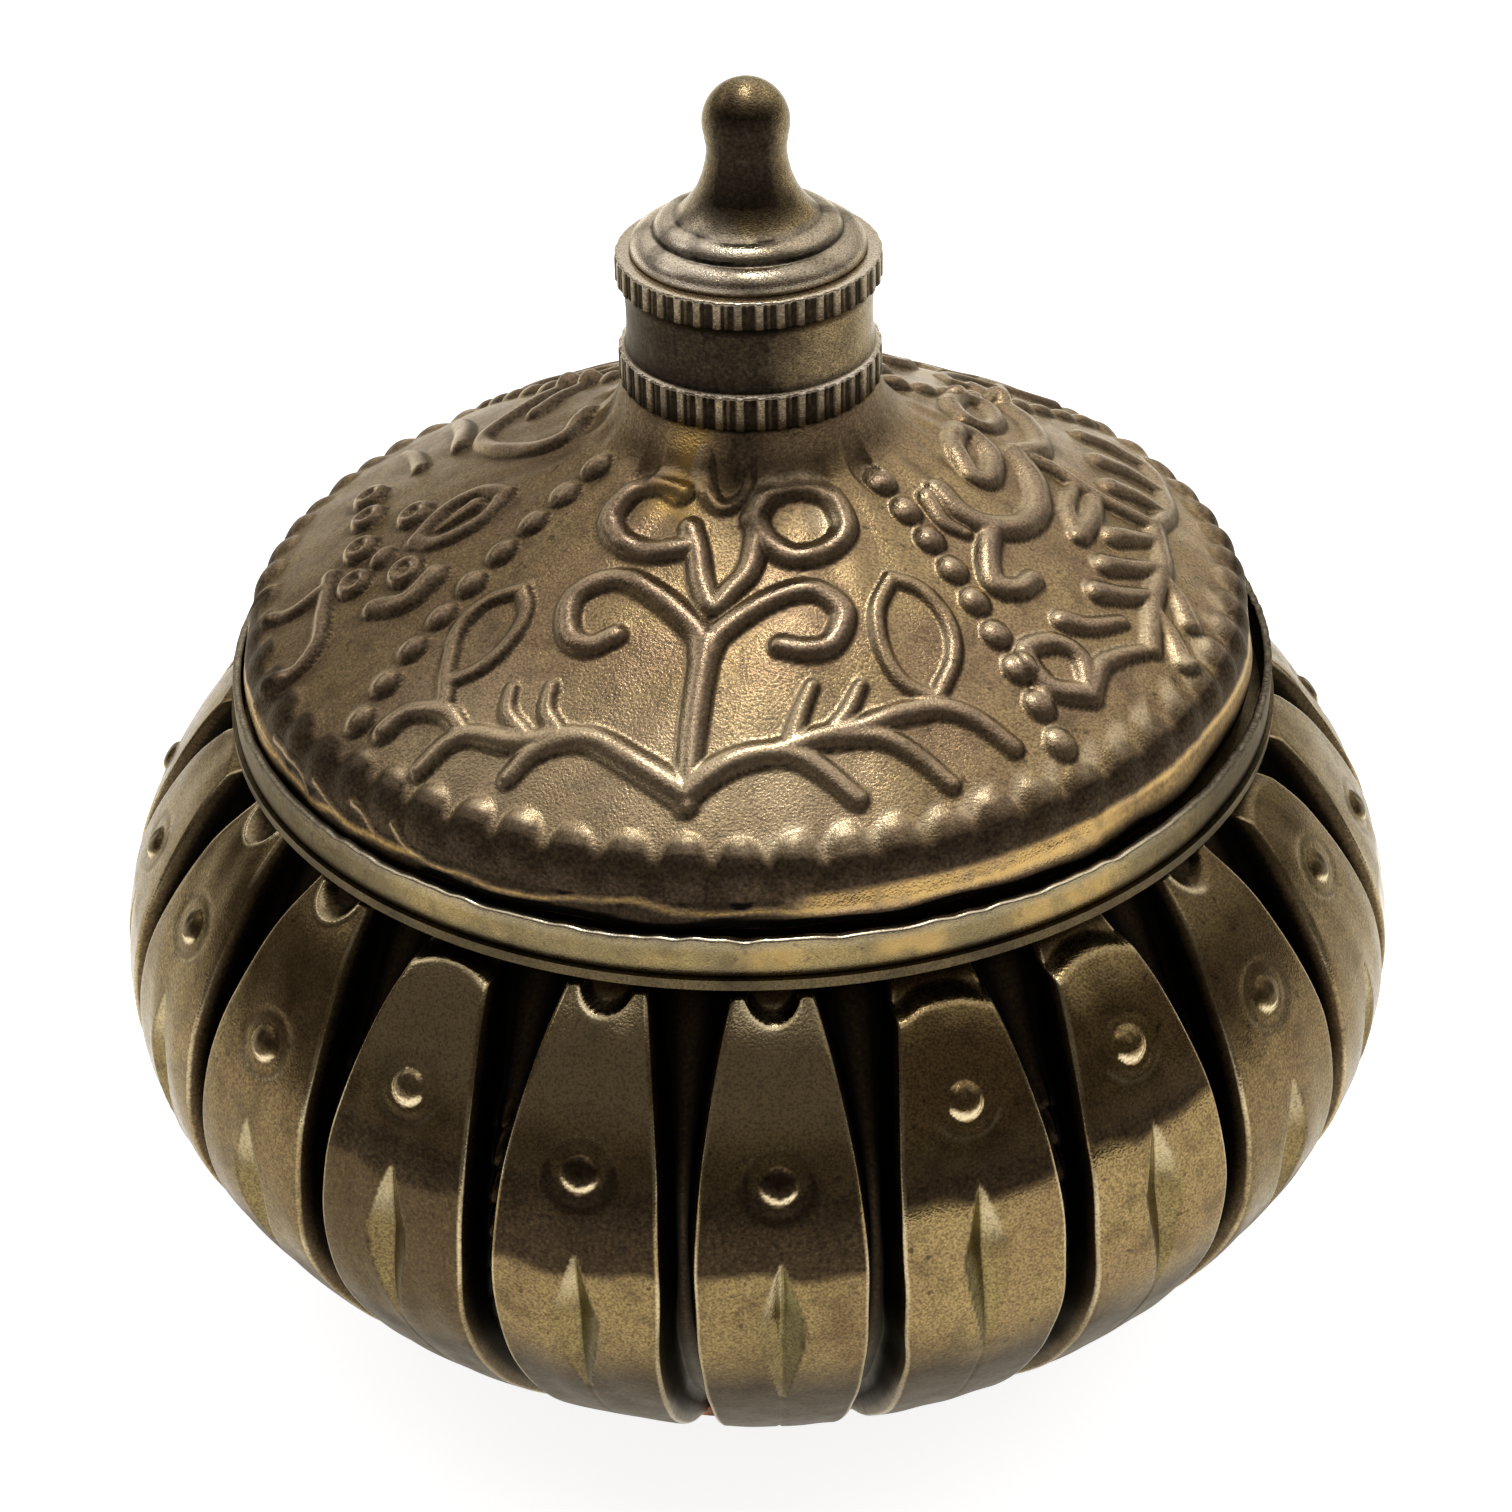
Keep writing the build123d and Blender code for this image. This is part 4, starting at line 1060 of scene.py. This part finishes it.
def dress_nodes():
    """Materials for the CAD nodes that are kept."""
    finishes = {
        "seat_ring": seat_brass, "base_disc": base_brass, "lid_skirt": lid_brass,
        "washer": fixing_brass, "nut": fixing_brass,
    }
    for node, finish in finishes.items():
        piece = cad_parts[node]
        piece.data.materials.clear()
        piece.data.materials.append(finish())


# Studio

def make_floor():
    """A wide pale floor that keeps the soft shadow of the box."""
    half = FLOOR_HALF_WIDTH
    corners = [(-half, -half, 0), (half, -half, 0), (half, half, 0), (-half, half, 0)]
    mesh = bpy.data.meshes.new("floor")
    mesh.from_pydata(corners, [], [(0, 1, 2, 3)])
    floor = bpy.data.objects.new("floor", mesh)
    bpy.context.scene.collection.objects.link(floor)
    material, shader, add, links = new_material("pale_floor")
    shader.inputs["Base Color"].default_value = (0.86, 0.86, 0.86, 1)
    shader.inputs["Roughness"].default_value = 0.9
    shader.inputs["Specular IOR Level"].default_value = 0.0
    shader.inputs["Emission Color"].default_value = (1, 1, 1, 1)
    path = add("ShaderNodeLightPath").outputs
    seen = path["Is Camera Ray"]
    for ray in ("Is Glossy Ray", "Is Transmission Ray"):
        either = {0: seen, 1: path[ray]}
        seen = add("ShaderNodeMath", either, operation="ADD", use_clamp=True).outputs["Value"]
    links.new(times(add, seen, FLOOR_GLOW), shader.inputs["Emission Strength"])
    floor.data.materials.append(material)


def make_world():
    """Soft light from above and behind, a little to the right, a pale horizon at the back, dim elsewhere."""
    world = bpy.data.worlds.new("studio")
    bpy.context.scene.world = world
    world.use_nodes = True
    add = node_adder(world.node_tree)
    direction = add("ShaderNodeTexCoord").outputs["Generated"]

    def facing(towards, low, high):
        """0 to 1 as the direction turns towards a light."""
        both = {0: direction, 1: Vector(towards).normalized()}
        dot = add("ShaderNodeVectorMath", both, operation="DOT_PRODUCT").outputs["Value"]
        limits = {"Value": dot, "From Min": low, "From Max": high}
        return add("ShaderNodeMapRange", limits, interpolation_type="SMOOTHSTEP").outputs["Result"]

    overhead = times(add, facing((0.25, 0.6, 0.76), 0.3, 0.95), facing((0, 0, 1), -0.1, 0.6))
    horizon = times(add, facing((0, 0, -1), -0.3, -0.1), facing((0, 1, 0), 0.3, 0.75))
    pale = add("ShaderNodeMath", {0: overhead, 1: horizon}, operation="MAXIMUM").outputs["Value"]
    background = world.node_tree.nodes["Background"]
    world.node_tree.links.new(mix(add, pale, DIM_SKY, PALE_SKY), background.inputs["Color"])


def make_lamp(name, place, size, power):
    """A square soft lamp that faces the box."""
    data = bpy.data.lights.new(name, "AREA")
    data.size = size
    data.energy = power
    lamp = bpy.data.objects.new(name, data)
    lamp.location = place
    lamp.rotation_euler = (Vector(LAMP_AIM) - Vector(place)).to_track_quat("-Z", "Y").to_euler()
    bpy.context.scene.collection.objects.link(lamp)


def make_camera():
    """The camera at the photograph's viewpoint."""
    elevation, turn, roll = (math.radians(v) for v in (CAMERA_ELEVATION, CAMERA_TURN, CAMERA_ROLL))
    reach = math.cos(elevation)
    back = Vector((reach * math.sin(turn), -reach * math.cos(turn), math.sin(elevation)))
    side = Vector((math.cos(turn), math.sin(turn), 0))
    up = back.cross(side)
    right = side * math.cos(roll) + up * math.sin(roll)
    over = up * math.cos(roll) - side * math.sin(roll)
    data = bpy.data.cameras.new("camera")
    data.sensor_width = SENSOR_WIDTH
    data.lens = FOCAL_PIXELS / IMAGE_SIZE * SENSOR_WIDTH
    data.shift_x = CENTRE_SHIFT_PIXELS / IMAGE_SIZE
    data.clip_start = 0.005
    data.clip_end = 20
    camera = bpy.data.objects.new("camera", data)
    place = (Vector((0, 0, AIM_HEIGHT)) + back * CAMERA_DISTANCE) * MM
    camera.matrix_world = Matrix.Translation(place) @ Matrix((right, over, back)).transposed().to_4x4()
    bpy.context.scene.collection.objects.link(camera)
    bpy.context.scene.camera = camera


make_camera()
make_floor()
make_world()
make_lamp("key", (0.0, 0.14, 0.6), size=0.12, power=0.55)
make_lamp("fill", (-0.06, -0.13, 0.6), size=0.25, power=0.12)
make_lamp("left", (-0.42, 0.12, 0.4), size=0.2, power=0.12)
make_bowl()
make_lid()
make_collar()
make_sleeve()
make_finial()
dress_nodes()
bpy.context.scene.view_settings.view_transform = "Standard"
